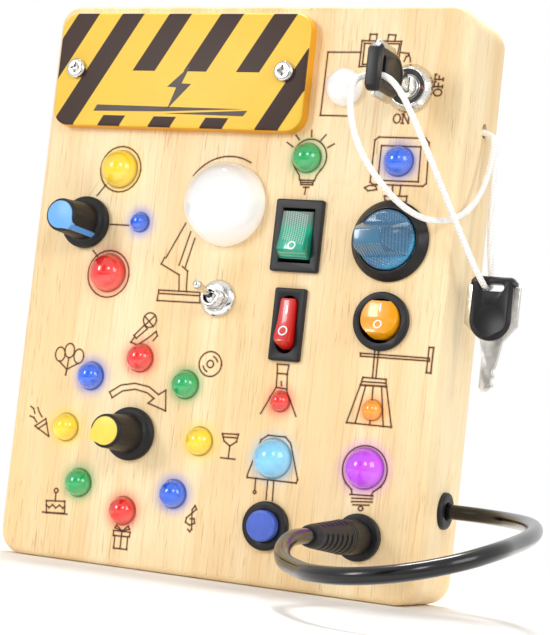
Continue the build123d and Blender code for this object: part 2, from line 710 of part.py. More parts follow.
def knob_body():
    """Fluted tapering knob on a wide skirt, recessed for its cap and pointer."""
    skirt_top = KNOB_LIFT + KNOB_SKIRT_THICKNESS
    body = turned(
        [
            (0, KNOB_LIFT),
            (KNOB_SKIRT_RADIUS, KNOB_LIFT),
            (KNOB_SKIRT_RADIUS, skirt_top - KNOB_SKIRT_BEVEL),
            (KNOB_SKIRT_RADIUS - KNOB_SKIRT_BEVEL, skirt_top),
            (KNOB_ROOT_RADIUS + KNOB_SKIRT_BEVEL, skirt_top),
            (KNOB_ROOT_RADIUS, skirt_top + KNOB_SKIRT_BEVEL),
            (KNOB_TOP_RADIUS, KNOB_HEIGHT - KNOB_TOP_BEVEL),
            (KNOB_TOP_RADIUS - KNOB_TOP_BEVEL, KNOB_HEIGHT),
            (0, KNOB_HEIGHT),
        ]
    )
    reach = KNOB_HEIGHT - skirt_top
    lean = (KNOB_ROOT_RADIUS - KNOB_TOP_RADIUS) / reach * 180 / pi
    for index in range(KNOB_FLUTES):
        flute = Pos(KNOB_ROOT_RADIUS + KNOB_FLUTE_OFFSET, 0, skirt_top + KNOB_SKIRT_BEVEL)
        flute *= Rot(0, -lean, 0)
        flute *= disc(KNOB_FLUTE_RADIUS, 0, reach + OVERCUT)
        body -= Rot(0, 0, 360 * (index + 0.5) / KNOB_FLUTES) * flute
    body -= disc(CAP_RADIUS, KNOB_HEIGHT - CAP_THICKNESS, KNOB_HEIGHT + OVERCUT)
    body -= pointer_bar(extra=SEAT_GAP)
    return body - disc(SHAFT_RADIUS, KNOB_LIFT - OVERCUT, KNOB_HEIGHT - 2 * CAP_THICKNESS)


def knob_cap():
    """Coloured cap: a disc in the top and the pointer bar down the side."""
    cap = disc(CAP_RADIUS, KNOB_HEIGHT - CAP_THICKNESS, KNOB_HEIGHT)
    return cap + pointer_bar()


def turned_knob(place, angle, solid):
    """A piece of a knob at its place, with the pointer at an angle from local +X."""
    return face(*place) * Rot(0, 0, angle) * solid


# ================================================================ toggle switch
def toggle_body():
    """Switch body behind the wall and the bushing that comes through it."""
    width, height, depth = TOGGLE_BODY
    body = block(width, height, -FRONT_WALL - depth, -FRONT_WALL)
    body += tabs((-height / 3, 0, height / 3), TAB_WIDTH, -FRONT_WALL - depth)
    bushing = disc(TOGGLE_BUSHING_RADIUS, -FRONT_WALL, TOGGLE_BUSHING_REACH)
    bushing = chamfer(rim(bushing), TOGGLE_BUSHING_BEVEL)
    low = TOGGLE_PIVOT - TOGGLE_BORE_RADIUS
    bore = disc(TOGGLE_BORE_RADIUS, low, TOGGLE_BUSHING_REACH + OVERCUT)
    return face(*TOGGLE_AT) * (body + bushing - bore)


def toggle_lever():
    """Lever with a ball in the bushing's bore and a rounded tip."""
    reach = TOGGLE_LEVER_REACH - TOGGLE_PIVOT
    lever = Sphere(TOGGLE_BORE_RADIUS - RUNNING_GAP)
    lever += turned(
        [
            (0, 0),
            (TOGGLE_NECK_RADIUS, 0),
            (TOGGLE_NECK_RADIUS, TOGGLE_NECK_LENGTH),
            (TOGGLE_TIP_RADIUS, reach - TOGGLE_TIP_RADIUS),
            (0, reach - TOGGLE_TIP_RADIUS),
        ]
    )
    lever += Pos(0, 0, reach - TOGGLE_TIP_RADIUS) * Sphere(TOGGLE_TIP_RADIUS)
    return face(*TOGGLE_AT) * Pos(0, 0, TOGGLE_PIVOT) * Rot(-TOGGLE_TILT, 0, 0) * lever


# ================================================================ rocker switches
def paddle_profile(base, edge, edge_height, middle_height):
    """Side outline of a paddle about its pivot: a shallow V between two raised ends."""
    lift = ROCKER_PIVOT_DEPTH
    return make_face(
        Polyline(
            (-base, lift),
            (-edge, lift + edge_height),
            (0, lift + middle_height),
            (edge, lift + edge_height),
            (base, lift),
            (base - ROCKER_TUCK, lift - ROCKER_SINK),
            (ROCKER_KEEL / 2, lift - ROCKER_SINK - ROCKER_KEEL_DEPTH),
            (-ROCKER_KEEL / 2, lift - ROCKER_SINK - ROCKER_KEEL_DEPTH),
            (ROCKER_TUCK - base, lift - ROCKER_SINK),
            close=True,
        )
    )


def paddle(plan, width, base, edge, edge_height, middle_height):
    """A paddle of a given plan outline, tilted onto its lower contact, with its pivot pins."""
    profile = Plane.YZ * paddle_profile(base, edge, edge_height, middle_height)
    solid = extrude(profile, width, both=True)
    low = ROCKER_PIVOT_DEPTH - HOUSING_DEPTH
    column = Pos(0, 0, low) * extrude(plan, HOUSING_DEPTH)
    column += Pos(0, 0, ROCKER_PIVOT_DEPTH) * extrude(plan, 2 * edge_height, taper=ROCKER_TAPER)
    solid &= column
    pin = Rot(0, 90, 0) * Cylinder(ROCKER_PIN_RADIUS, width + 2 * (ROCKER_GAP + ROCKER_PIN_GRIP))
    solid += pin
    return Pos(0, 0, -ROCKER_PIVOT_DEPTH) * Rot(POINTS_TO_LOWER, 0, 0) * solid


def rocker_frame(bezel, housing, window, pin_reach):
    """Bezel and housing of a rocker, opened for the paddle and bored for its pins."""
    depth = ROCKER_PIVOT_DEPTH + ROCKER_SINK + ROCKER_WELL_CLEARANCE
    frame = bezel + housing
    frame -= Pos(0, 0, -depth) * extrude(window, depth + BEZEL_HEIGHT + OVERCUT)
    pin = Rot(0, 90, 0) * Cylinder(ROCKER_PIN_RADIUS + RUNNING_GAP, 2 * pin_reach)
    frame -= Pos(0, 0, -ROCKER_PIVOT_DEPTH) * pin
    return frame + tabs((-WIDE_TAB_PITCH, 0, WIDE_TAB_PITCH), WIDE_TAB_WIDTH, -HOUSING_DEPTH)


def pin_reach(window_width):
    """How far from the middle a paddle's pins reach, with their end play."""
    return window_width / 2 + ROCKER_PIN_GRIP + RUNNING_GAP


def green_rocker_frame():
    """Black bezel and housing of the large rocker."""
    bezel = fillet(rim(block(*GREEN_BEZEL, 0, BEZEL_HEIGHT, BEZEL_CORNER)), BEZEL_ROUND)
    housing = block(*housing_size(GREEN_WINDOW, 0), -HOUSING_DEPTH, 0)
    frame = rocker_frame(bezel, housing, Rectangle(*GREEN_WINDOW), pin_reach(GREEN_WINDOW[0]))
    return face(COLUMN_3, ROW_SELECTOR) * frame


def green_rocker():
    """Large clear rocker."""
    width = GREEN_WINDOW[0] - 2 * ROCKER_GAP
    base = GREEN_WINDOW[1] / 2 - 2 * ROCKER_GAP
    solid = paddle(Rectangle(width, 4 * base), width, base, base - GREEN_SLOPE, *GREEN_HEIGHTS)
    return face(COLUMN_3, ROW_SELECTOR) * solid


def red_rocker_frame():
    """Black bezel and housing of the narrow rocker."""
    bezel = fillet(rim(block(*RED_BEZEL, 0, BEZEL_HEIGHT, BEZEL_CORNER)), BEZEL_ROUND)
    housing = block(*housing_size(RED_WINDOW, 0), -HOUSING_DEPTH, 0)
    window = SlotOverall(RED_WINDOW[1], RED_WINDOW[0], rotation=90)
    frame = rocker_frame(bezel, housing, window, pin_reach(RED_WINDOW[0]))
    return face(COLUMN_3, ROW_ROCKER) * frame


def red_rocker():
    """Narrow rocker with round ends."""
    width = RED_WINDOW[0] - 2 * ROCKER_GAP
    length = RED_WINDOW[1] - 4 * ROCKER_GAP
    plan = SlotOverall(length, width, rotation=90)
    solid = paddle(plan, width, length / 2, length / 2 - RED_SLOPE, *RED_HEIGHTS)
    return face(COLUMN_3, ROW_ROCKER) * solid


def round_rocker_frame():
    """Black round bezel and housing of the round rocker."""
    bezel = fillet(rim(disc(ROUND_BEZEL_RADIUS, 0, BEZEL_HEIGHT)), BEZEL_ROUND)
    housing = disc(ROUND_WINDOW_RADIUS + HOUSING_WALL, -HOUSING_DEPTH, 0)
    window = Circle(ROUND_WINDOW_RADIUS)
    frame = rocker_frame(bezel, housing, window, pin_reach(2 * ROUND_WINDOW_RADIUS))
    return face(COLUMN_4, ROW_ROUND_ROCKER) * frame


def round_rocker():
    """Round rocker."""
    radius = ROUND_WINDOW_RADIUS - 2 * ROCKER_GAP
    reach = 2 * (ROUND_WINDOW_RADIUS - ROCKER_GAP)
    solid = paddle(Circle(radius), reach, radius, radius - ROUND_SLOPE, *ROUND_HEIGHTS)
    return face(COLUMN_4, ROW_ROUND_ROCKER) * solid


# ================================================================ selector
def selector_body():
    """Sloped round bezel, its well and the barrel through the wall."""
    well = SELECTOR_KNOB_RADIUS + SOFT_GAP
    body = turned(
        [
            (0, 0),
            (SELECTOR_RADIUS, 0),
            (SELECTOR_RADIUS, SELECTOR_RIM_HEIGHT - SELECTOR_RIM_BEVEL),
            (SELECTOR_RADIUS - SELECTOR_RIM_BEVEL, SELECTOR_RIM_HEIGHT),
            (SELECTOR_CROWN_RADIUS, SELECTOR_CROWN_HEIGHT),
            (well, SELECTOR_CROWN_HEIGHT),
            (well, SELECTOR_WELL_FLOOR),
            (0, SELECTOR_WELL_FLOOR),
        ]
    )
    body += disc(SELECTOR_BARREL_RADIUS, -SELECTOR_BARREL_DEPTH, 0)
    body += tabs((-WIDE_TAB_PITCH, WIDE_TAB_PITCH), WIDE_TAB_WIDTH, -SELECTOR_BARREL_DEPTH)
    bore_end = -SELECTOR_BARREL_DEPTH + HOUSING_FLOOR
    body -= disc(SELECTOR_SHAFT_RADIUS + RUNNING_GAP, bore_end, SELECTOR_CROWN_HEIGHT)
    return face(COLUMN_4, ROW_SELECTOR) * body


def selector_handle(low):
    """Grip bar with leaning sides, level over one end and falling to the disc at the other."""
    reach, top = SELECTOR_KNOB_RADIUS - SELECTOR_HANDLE_INSET, SELECTOR_HANDLE_TOP
    half_foot, half_top = SELECTOR_HANDLE_FOOT / 2, SELECTOR_HANDLE_WIDTH / 2
    across = Polyline((-half_foot, low), (-half_top, top), (half_top, top), (half_foot, low), close=True)
    along = Polyline(
        (reach, low),
        (reach - SELECTOR_HANDLE_DRAFT, top),
        (-SELECTOR_HANDLE_FALL, top),
        (-reach, SELECTOR_DISC_TOP - SELECTOR_DISC_ROUND),
        (-reach, low),
        close=True,
    )
    handle = extrude(Plane.YZ * make_face(across), reach, both=True)
    handle &= extrude(Plane.XZ * make_face(along), half_foot, both=True)
    return handle & disc(reach, low, top)


def selector_knob():
    """Clear disc with a grip bar across it, and the shaft in the barrel."""
    low = SELECTOR_WELL_FLOOR + SOFT_GAP
    knob = disc(SELECTOR_KNOB_RADIUS, low, SELECTOR_DISC_TOP)
    knob = fillet(rim(knob), SELECTOR_DISC_ROUND)
    knob += fillet(rim(selector_handle(low + SELECTOR_HANDLE_INSET)), SELECTOR_HANDLE_ROUND)
    bore_end = -SELECTOR_BARREL_DEPTH + HOUSING_FLOOR + SOFT_GAP
    knob += disc(SELECTOR_SHAFT_RADIUS, bore_end, low)
    return face(COLUMN_4, ROW_SELECTOR) * Rot(0, 0, SELECTOR_ANGLE) * knob


# ================================================================ push button
def button_body():
    """Round collar and barrel of the push button, stepped inside for the cap's flange."""
    body = disc(BUTTON_RING_RADIUS, 0, BUTTON_RING_HEIGHT)
    body = fillet(rim(body), BUTTON_RING_ROUND)
    body += disc(BUTTON_BARREL_RADIUS, -BUTTON_BARREL_DEPTH, 0)
    body += tabs((-TAB_WIDTH, TAB_WIDTH), TAB_WIDTH, -BUTTON_BARREL_DEPTH)
    body -= disc(BUTTON_CAP_RADIUS + RUNNING_GAP, -BUTTON_WELL_DEPTH, BUTTON_RING_HEIGHT + OVERCUT)
    flange = BUTTON_CAP_RADIUS + BUTTON_CAP_FLANGE + RUNNING_GAP
    return face(COLUMN_3, ROW_PLUG) * (body - disc(flange, -BUTTON_WELL_DEPTH, -BUTTON_CAP_SINK))


def button_cap():
    """Coloured cap with the flange that keeps it in its collar."""
    cap = disc(BUTTON_CAP_RADIUS, -BUTTON_CAP_SINK, BUTTON_CAP_REACH)
    cap = fillet(rim(cap), BUTTON_CAP_ROUND)
    low = -BUTTON_CAP_SINK - BUTTON_FLANGE_THICKNESS
    cap += disc(BUTTON_CAP_RADIUS + BUTTON_CAP_FLANGE, low, -BUTTON_CAP_SINK)
    return face(COLUMN_3, ROW_PLUG) * cap


def button_spring():
    """Coil spring between the cap and the bottom of the well."""
    low = -BUTTON_WELL_DEPTH + BUTTON_SPRING_WIRE
    high = -BUTTON_CAP_SINK - BUTTON_FLANGE_THICKNESS - BUTTON_SPRING_WIRE
    path = Helix((high - low) / BUTTON_SPRING_TURNS, high - low, BUTTON_SPRING_RADIUS)
    section = Plane(origin=path @ 0, z_dir=path % 0) * Circle(BUTTON_SPRING_WIRE)
    return face(COLUMN_3, ROW_PLUG) * Pos(0, 0, low) * sweep(section, path)


# ================================================================ key switch
def lock_body():
    """Metal bezel with a dished ring, and the barrel through the wall."""
    body = turned(
        [
            (0, 0),
            (LOCK_RADIUS, 0),
            (LOCK_RADIUS, LOCK_RIM_HEIGHT),
            (LOCK_CROWN_RADIUS, LOCK_CROWN_HEIGHT),
            (LOCK_CROWN_RADIUS - LOCK_CROWN_WIDTH, LOCK_CROWN_HEIGHT),
            (LOCK_DISH_RADIUS, LOCK_DISH_HEIGHT),
            (0, LOCK_DISH_HEIGHT),
        ]
    )
    body += disc(LOCK_BARREL_RADIUS, -LOCK_BARREL_DEPTH, 0)
    body += tabs((-TAB_WIDTH, TAB_WIDTH), TAB_WIDTH, -LOCK_BARREL_DEPTH)
    bore = disc(LOCK_PLUG_RADIUS + RUNNING_GAP, -LOCK_PLUG_DEPTH - RUNNING_GAP, LOCK_CROWN_HEIGHT)
    return face(*LOCK_AT) * (body - bore)


def lock_plug():
    """Turning plug with its keyway; the key's width stands upright at rest."""
    plug = disc(LOCK_PLUG_RADIUS, -LOCK_PLUG_DEPTH, LOCK_PLUG_REACH)
    plug = chamfer(rim(plug), LOCK_PLUG_BEVEL)
    width = BLADE_BACK + BLADE_EDGE + 2 * SEAT_GAP
    depth = BLADE_LENGTH - BLADE_EXPOSED + SOFT_GAP
    keyway = Pos(BLADE_EDGE / 2 - BLADE_BACK / 2, 0, 0) * block(
        width,
        KEY_PLATE_THICKNESS + 2 * SEAT_GAP,
        LOCK_PLUG_REACH - depth,
        LOCK_PLUG_REACH + OVERCUT,
    )
    return face(*LOCK_AT) * (plug - Rot(0, 0, 90) * keyway)


def key_slot():
    """Slot for the cord through a key, along local Y."""
    outline = SlotOverall(*KEY_SLOT)
    slot = extrude(Plane.XZ * outline, KEY_BOW_THICKNESS, both=True)
    return Pos(0, 0, KEY_SLOT_HEIGHT) * slot


def key_plate():
    """Metal plate and blade; local origin at the shoulder, blade towards local -Z."""
    half = KEY_PLATE_WIDTH / 2
    top = KEY_BOW_LENGTH - KEY_BAR_HEIGHT
    tip = BLADE_LENGTH
    start = BLADE_EXPOSED
    pitch = (tip - start - BLADE_TIP) / len(BLADE_CUTS)
    points = [(-half, top), (half, top), (half, KEY_PLATE_FOOT), (BLADE_SHOULDER, 0)]
    points += [(BLADE_EDGE, BLADE_LEAD - start)]
    for index, width in enumerate(BLADE_CUTS):
        points += [(width, -start - pitch * (index + 0.35)), (width, -start - pitch * (index + 0.75))]
    points += [(BLADE_NOSE, -tip), (-BLADE_NOSE, -tip), (-BLADE_BACK, BLADE_TIP - tip)]
    points += [(-BLADE_BACK, -BLADE_SHOULDER), (-BLADE_EDGE, 0), (-half, KEY_PLATE_FOOT)]
    outline = make_face(Polyline(*points, close=True))
    return extrude(Plane.XZ * outline, KEY_PLATE_THICKNESS / 2, both=True)


def key_bow_solid():
    """Plastic head: a thick bar at the end and two face plates over the metal."""
    half = KEY_BOW_WIDTH / 2
    waist = half - KEY_BAR_PROUD
    top = KEY_BOW_LENGTH
    cut = KEY_CORNER_CUT
    outline = Polyline(
        (-waist, waist),
        (-waist, top - KEY_BAR_HEIGHT),
        (-half, top - KEY_BAR_HEIGHT),
        (-half, top - cut),
        (-half + cut, top),
        (half - cut, top),
        (half, top - cut),
        (half, top - KEY_BAR_HEIGHT),
        (waist, top - KEY_BAR_HEIGHT),
        (waist, waist),
    )
    foot = ThreePointArc((waist, waist), (0, 0), (-waist, waist))
    head = extrude(Plane.XZ * make_face(outline + foot), KEY_BOW_THICKNESS / 2, both=True)
    faces = head.faces().group_by(Axis.Y)
    head = chamfer(faces[0].edges() + faces[-1].edges(), KEY_FACE_BEVEL)
    for way in (-1, 1):
        place = Pos(0, way * KEY_BOW_THICKNESS / 2, KEY_DISC_HEIGHT) * Rot(90, 0, 0)
        head -= place * Cylinder(KEY_DISC_RADIUS, 2 * KEY_DISC_DEPTH)
    return head


def key_at_lock(solid):
    """A key's piece at its place in the lock, with the width upright."""
    return face(*LOCK_AT) * Pos(0, 0, LOCK_KEY_SHOULDER) * Rot(0, 0, 90) * solid


def key_on_cord(solid):
    """A key's piece at its place on the cord beside the board."""
    return Pos(*SPARE_KEY_AT) * solid


def key_metal():
    """The plate with its cord slot."""
    return key_plate() - key_slot()


def key_plastic():
    """The head with its cord slot, hollowed for the plate."""
    return key_bow_solid() - key_slot() - key_plate()


# ================================================================ jack socket, plug and cable
def dc_socket():
    """Round socket with a centre pin."""
    body = disc(SOCKET_RADIUS, 0, SOCKET_REACH)
    body = fillet(rim(body), SOCKET_ROUND)
    body += disc(SOCKET_BARREL_RADIUS, -SOCKET_DEPTH, 0)
    well = disc(JACK_RADIUS + RUNNING_GAP, -SOCKET_WELL_DEPTH, SOCKET_REACH + OVERCUT)
    body = body - well + disc(CENTRE_PIN_RADIUS, -SOCKET_WELL_DEPTH, SOCKET_REACH - 1)
    body += tabs((-TAB_WIDTH, TAB_WIDTH), TAB_WIDTH, -SOCKET_DEPTH)
    return face(COLUMN_4, ROW_PLUG) * body


def dc_plug():
    """Metal jack and the ribbed grip that carries it."""
    low = SOCKET_REACH + SEAT_GAP
    grip = disc(GRIP_RADIUS, low, low + GRIP_LENGTH)
    grip = fillet(rim(grip, top=False), SOCKET_ROUND)
    for index in range(GRIP_RIBS):
        groove = disc(GRIP_GROOVE_RADIUS, low + 1.5, low + GRIP_LENGTH * 0.7)
        groove = Pos(GRIP_RADIUS + GRIP_GROOVE_OFFSET, 0, 0) * groove
        grip -= Rot(0, 0, 360 * index / GRIP_RIBS) * groove
    jack = disc(JACK_RADIUS, low - JACK_LENGTH, low)
    plug = grip + jack
    return face(COLUMN_4, ROW_PLUG) * (plug - disc(JACK_BORE_RADIUS, low - JACK_LENGTH - 1, low))


def dc_plug_boot():
    """Tapering ringed strain relief behind the grip."""
    low = SOCKET_REACH + SEAT_GAP + GRIP_LENGTH
    pitch = (BOOT_END - low - BOOT_COLLAR) / BOOT_RINGS
    points = [(0, low)]
    for index in range(BOOT_RINGS):
        height = low + index * pitch
        share = index / BOOT_RINGS
        radius = GRIP_RADIUS * (1 - share) + (BOOT_END_RADIUS + BOOT_GROOVE / 2) * share
        root = radius - BOOT_GROOVE
        points += [(radius, height), (radius, height + pitch * 0.62)]
        points += [(root, height + pitch * 0.66), (root, height + pitch * 0.98)]
    points += [(BOOT_END_RADIUS, BOOT_END - BOOT_COLLAR), (BOOT_END_RADIUS, BOOT_END), (0, BOOT_END)]
    return face(COLUMN_4, ROW_PLUG) * turned(points)


def cable_grommet():
    """Flanged grommet in the side wall, bored for the cable."""
    grommet = disc(GROMMET_RADIUS, 0, GROMMET_REACH)
    grommet = fillet(rim(grommet), GROMMET_ROUND)
    grommet += disc(GROMMET_BARREL_RADIUS, -SIDE_WALL, 0)
    hole = disc(CABLE_RADIUS + SOFT_GAP, -SIDE_WALL - OVERCUT, GROMMET_REACH + OVERCUT)
    return side(*GROMMET_AT) * (grommet - hole)


def corner_radii(route, folds):
    """The radius at each inner point: as large as its two runs allow, or the fold's own."""
    points = [Vector(*point) for point in route]
    radii = []
    for index in range(1, len(points) - 1):
        before = points[index] - points[index - 1]
        after = points[index + 1] - points[index]
        shorter = min(before.length, after.length)
        largest = 0.45 * shorter / tan(radians(before.get_angle(after)) / 2)
        radii.append(min(largest, folds.get(index, largest)))
    return radii


def cord_tube(name, route, radius, folds):
    """A plain tube along a route of straight runs and tangent arcs."""
    radii = corner_radii(route, folds)
    path = FilletPolyline(*route, radius=radii)
    section = Plane(origin=path @ 0, z_dir=path % 0) * Circle(radius)
    solid = sweep(section, path)
    print(name, "radii", [round(value, 1) for value in radii])
    print(name, "length", round(path.length, 1), "volume", round(solid.volume, 1))
    print(name, "section times length", round(pi * radius**2 * path.length, 1))
    return solid


def cable():
    """Lead from the plug's boot to the grommet in the side."""
    return cord_tube("cable", CABLE_ROUTE, CABLE_RADIUS, {})


def key_cord():
    """White cord from the side hole through both keys and back into the hole."""
    return cord_tube("key_cord", CORD_ROUTE, CORD_RADIUS, CORD_FOLDS)


def cord_knot():
    """Stopper knot of the cord's two ends, inside the side wall."""
    knot = Sphere(KNOT_RADIUS) & disc(KNOT_RADIUS + 1, -KNOT_RADIUS - 1, KNOT_RADIUS / 2)
    return side(*CORD_HOLE_AT) * Pos(0, 0, -SIDE_WALL - KNOT_RADIUS / 2) * knot


# ================================================================ nuts behind and on the front wall
def panel_nuts():
    """Every nut that clamps a switch, socket or potentiometer to the front wall."""
    seat = -FRONT_WALL
    nuts = []
    for place in (POINTER_KNOB_AT, RING_KNOB_AT):
        low = -COUNTERBORE_DEPTH
        nut = hexagon(POT_NUT_ACROSS, BUSHING_RADIUS, low, low + POT_NUT_THICKNESS)
        nuts.append(face(*place) * nut)
    ring = fillet(rim(disc(TOGGLE_RING_RADIUS, 0, TOGGLE_RING_HEIGHT)), TOGGLE_RING_ROUND)
    ring -= disc(TOGGLE_BUSHING_RADIUS, -OVERCUT, TOGGLE_RING_HEIGHT + OVERCUT)
    nuts.append(face(*TOGGLE_AT) * ring)
    for place, bore in (
        (LOCK_AT, LOCK_BARREL_RADIUS),
        ((COLUMN_4, ROW_SELECTOR), SELECTOR_BARREL_RADIUS),
        ((COLUMN_3, ROW_PLUG), BUTTON_BARREL_RADIUS),
        ((COLUMN_4, ROW_PLUG), SOCKET_BARREL_RADIUS),
    ):
        nut = hexagon(2 * (bore + NUT_WALL), bore, seat - NUT_THICKNESS, seat)
        nuts.append(face(*place) * nut)
    return joined(nuts)


# ================================================================ batteries
def battery_tray():
    """Open box behind the door, closed towards the front, with the boss for the door's screw."""
    top = BACK_PANEL_FACE + TRAY_INSIDE_DEPTH
    outer = block(
        TRAY_INSIDE_LENGTH + 2 * TRAY_WALL,
        TRAY_INSIDE_HEIGHT + 2 * TRAY_WALL,
        BACK_PANEL_FACE,
        top + TRAY_WALL,
    )
    tray = outer - block(TRAY_INSIDE_LENGTH, TRAY_INSIDE_HEIGHT, BACK_PANEL_FACE - OVERCUT, top)
    tray += Pos(0, door_screw_height(), 0) * block(TRAY_BOSS, TRAY_BOSS, BACK_PANEL_FACE, top)
    hole_radius = DOOR_SCREW_RADIUS + DOOR_SCREW_SLACK
    hole = disc(hole_radius, BACK_PANEL_FACE - OVERCUT, BACK_PANEL_FACE + DOOR_SCREW_LENGTH)
    return face(*TRAY_AT) * (tray - Pos(0, door_screw_height(), 0) * hole)


def door_screw_height():
    """Height of the door's screw above the tray's middle."""
    return TRAY_INSIDE_HEIGHT / 2 - TRAY_BOSS / 2


def battery_rows():
    """Heights of the batteries' centrelines above the tray's middle."""
    lowest = -TRAY_INSIDE_HEIGHT / 2 + BATTERY_PITCH / 2
    return [lowest + index * BATTERY_PITCH for index in range(BATTERY_COUNT)]


def battery():
    """One AA cell along local X, its nub towards -X."""
    shoulder = BATTERY_LENGTH - BATTERY_NUB_HEIGHT
    cell = disc(BATTERY_RADIUS, 0, shoulder)
    cell = fillet(rim(cell) + rim(cell, top=False), BATTERY_EDGE_ROUND)
    cell += disc(BATTERY_NUB_RADIUS, shoulder, BATTERY_LENGTH)
    return Rot(0, -90, 0) * Pos(0, 0, -BATTERY_LENGTH / 2) * cell


def batteries():
    """The cells in the tray, every second one the other way round."""
    cells = []
    for index, row in enumerate(battery_rows()):
        way = -1 if index % 2 else 1
        shift = way * CONTACT_SPRING_LENGTH / 2
        place = face(*TRAY_AT) * Pos(-shift, row, BATTERY_HEIGHT)
        cells.append(place * Rot(0, 0, 180 * (index % 2)) * battery())
    return joined(cells)


def battery_contacts():
    """A flat contact at each cell's nub and a conical spring at its flat end."""
    half = TRAY_INSIDE_LENGTH / 2
    pieces = []
    for index, row in enumerate(battery_rows()):
        way = -1 if index % 2 else 1
        place = face(*TRAY_AT) * Pos(0, row, BATTERY_HEIGHT) * Rot(0, 0, 180 * (index % 2))
        plate = Box(CONTACT_THICKNESS, *CONTACT_SIZE)
        flat = Pos(-half + CONTACT_THICKNESS / 2, 0, 0) * plate
        spring = Pos(half - CONTACT_THICKNESS / 2, 0, 0) * plate
        spring += Pos(half - CONTACT_THICKNESS, 0, 0) * Rot(0, -90, 0) * contact_spring()
        pieces += [place * flat, place * spring]
    return joined(pieces)


def contact_spring():
    """Conical spring drawn as its stacked turns."""
    pitch = CONTACT_SPRING_LENGTH / CONTACT_SPRING_TURNS
    points = [(0, 0)]
    for index in range(CONTACT_SPRING_TURNS):
        radius = CONTACT_SPRING_RADIUS - CONTACT_SPRING_STEP * index
        low = index * pitch
        points += [(radius - CONTACT_SPRING_GROOVE, low)]
        points += [(radius, low + pitch * 0.35), (radius, low + pitch * 0.65)]
    points += [(radius - CONTACT_SPRING_GROOVE, CONTACT_SPRING_LENGTH), (0, CONTACT_SPRING_LENGTH)]
    return turned(points)


def door_pins(radius, grip):
    """The door's two hinge pins on one axis, at the lower edge."""
    low = -TRAY_INSIDE_HEIGHT / 2 + DOOR_GAP + DOOR_THICKNESS / 2
    length = TRAY_INSIDE_LENGTH + 2 * grip
    pins = Rot(0, 90, 0) * Cylinder(radius, length)
    return face(*TRAY_AT) * Pos(0, low, BACK + DOOR_THICKNESS / 2) * pins


def battery_door():
    """Door flush with the back, round along its hinged lower edge."""
    width = TRAY_INSIDE_LENGTH - 2 * DOOR_GAP
    low = -TRAY_INSIDE_HEIGHT / 2 + DOOR_GAP + DOOR_THICKNESS / 2
    high = TRAY_INSIDE_HEIGHT / 2 - DOOR_GAP
    top = BACK + DOOR_THICKNESS
    door = Pos(0, (low + high) / 2, 0) * block(width, high - low, BACK, top)
    door += Pos(0, low, BACK + DOOR_THICKNESS / 2) * Rot(0, 90, 0) * Cylinder(DOOR_THICKNESS / 2, width)
    bar = Pos(0, door_screw_height(), 0) * block(TRAY_BOSS, TRAY_BOSS - 1, top, BACK_PANEL_FACE)
    door = face(*TRAY_AT) * (door + bar) + door_pins(DOOR_PIN_RADIUS, DOOR_PIN_LENGTH)
    return door - face(*TRAY_AT) * Pos(0, door_screw_height(), 0) * door_screw_shape(SEAT_GAP)


def door_screw_shape(extra=0):
    """Countersunk captive screw of the door."""
    head = DOOR_SCREW_HEAD + extra
    shank = DOOR_SCREW_RADIUS + extra
    end = BACK_PANEL_FACE + DOOR_SCREW_LENGTH - 1
    points = [(0, BACK), (head, BACK), (shank, BACK + head - shank), (shank, end), (0, end)]
    return turned(points)


def battery_door_screw():
    """The door's screw, held captive in the door."""
    slot = block(*CROSS_SLOT, BACK - OVERCUT, BACK + CROSS_SLOT_DEPTH)
    return face(*TRAY_AT) * Pos(0, door_screw_height(), 0) * (door_screw_shape() - slot)


# ================================================================ circuit board
def circuit_board():
    """Circuit board with its chip, capacitors and connectors."""
    low = BACK_PANEL_FACE + STANDOFF_HEIGHT
    top = low + CIRCUIT_THICKNESS
    board = block(*CIRCUIT_SIZE, low, top, 2)
    board += block(CHIP_SIZE, CHIP_SIZE, top, top + CHIP_HEIGHT)
    width, height = CIRCUIT_SIZE
    for x, y in CONNECTOR_SHARES:
        board += Pos(x * width, y * height, 0) * block(*CONNECTOR_SIZE, top, top + CONNECTOR_HEIGHT)
    for x, y in CAPACITOR_SHARES:
        board += Pos(x * width, y * height, 0) * disc(CAPACITOR_RADIUS, top, top + CAPACITOR_HEIGHT)
    board = face(*CIRCUIT_AT) * board
    for place in standoff_places():
        board -= face(*place) * disc(STANDOFF_PIN_RADIUS, low - OVERCUT, top + OVERCUT)
    return board


def circuit_board_standoffs():
    """Four spacers with pins into the back panel and the circuit board."""
    low = BACK_PANEL_FACE
    high = low + STANDOFF_HEIGHT
    pin_top = high + CIRCUIT_THICKNESS + 1
    pillar = disc(STANDOFF_RADIUS, low, high) + disc(STANDOFF_PIN_RADIUS, BACK + 1, pin_top)
    return joined(face(*place) * pillar for place in standoff_places())


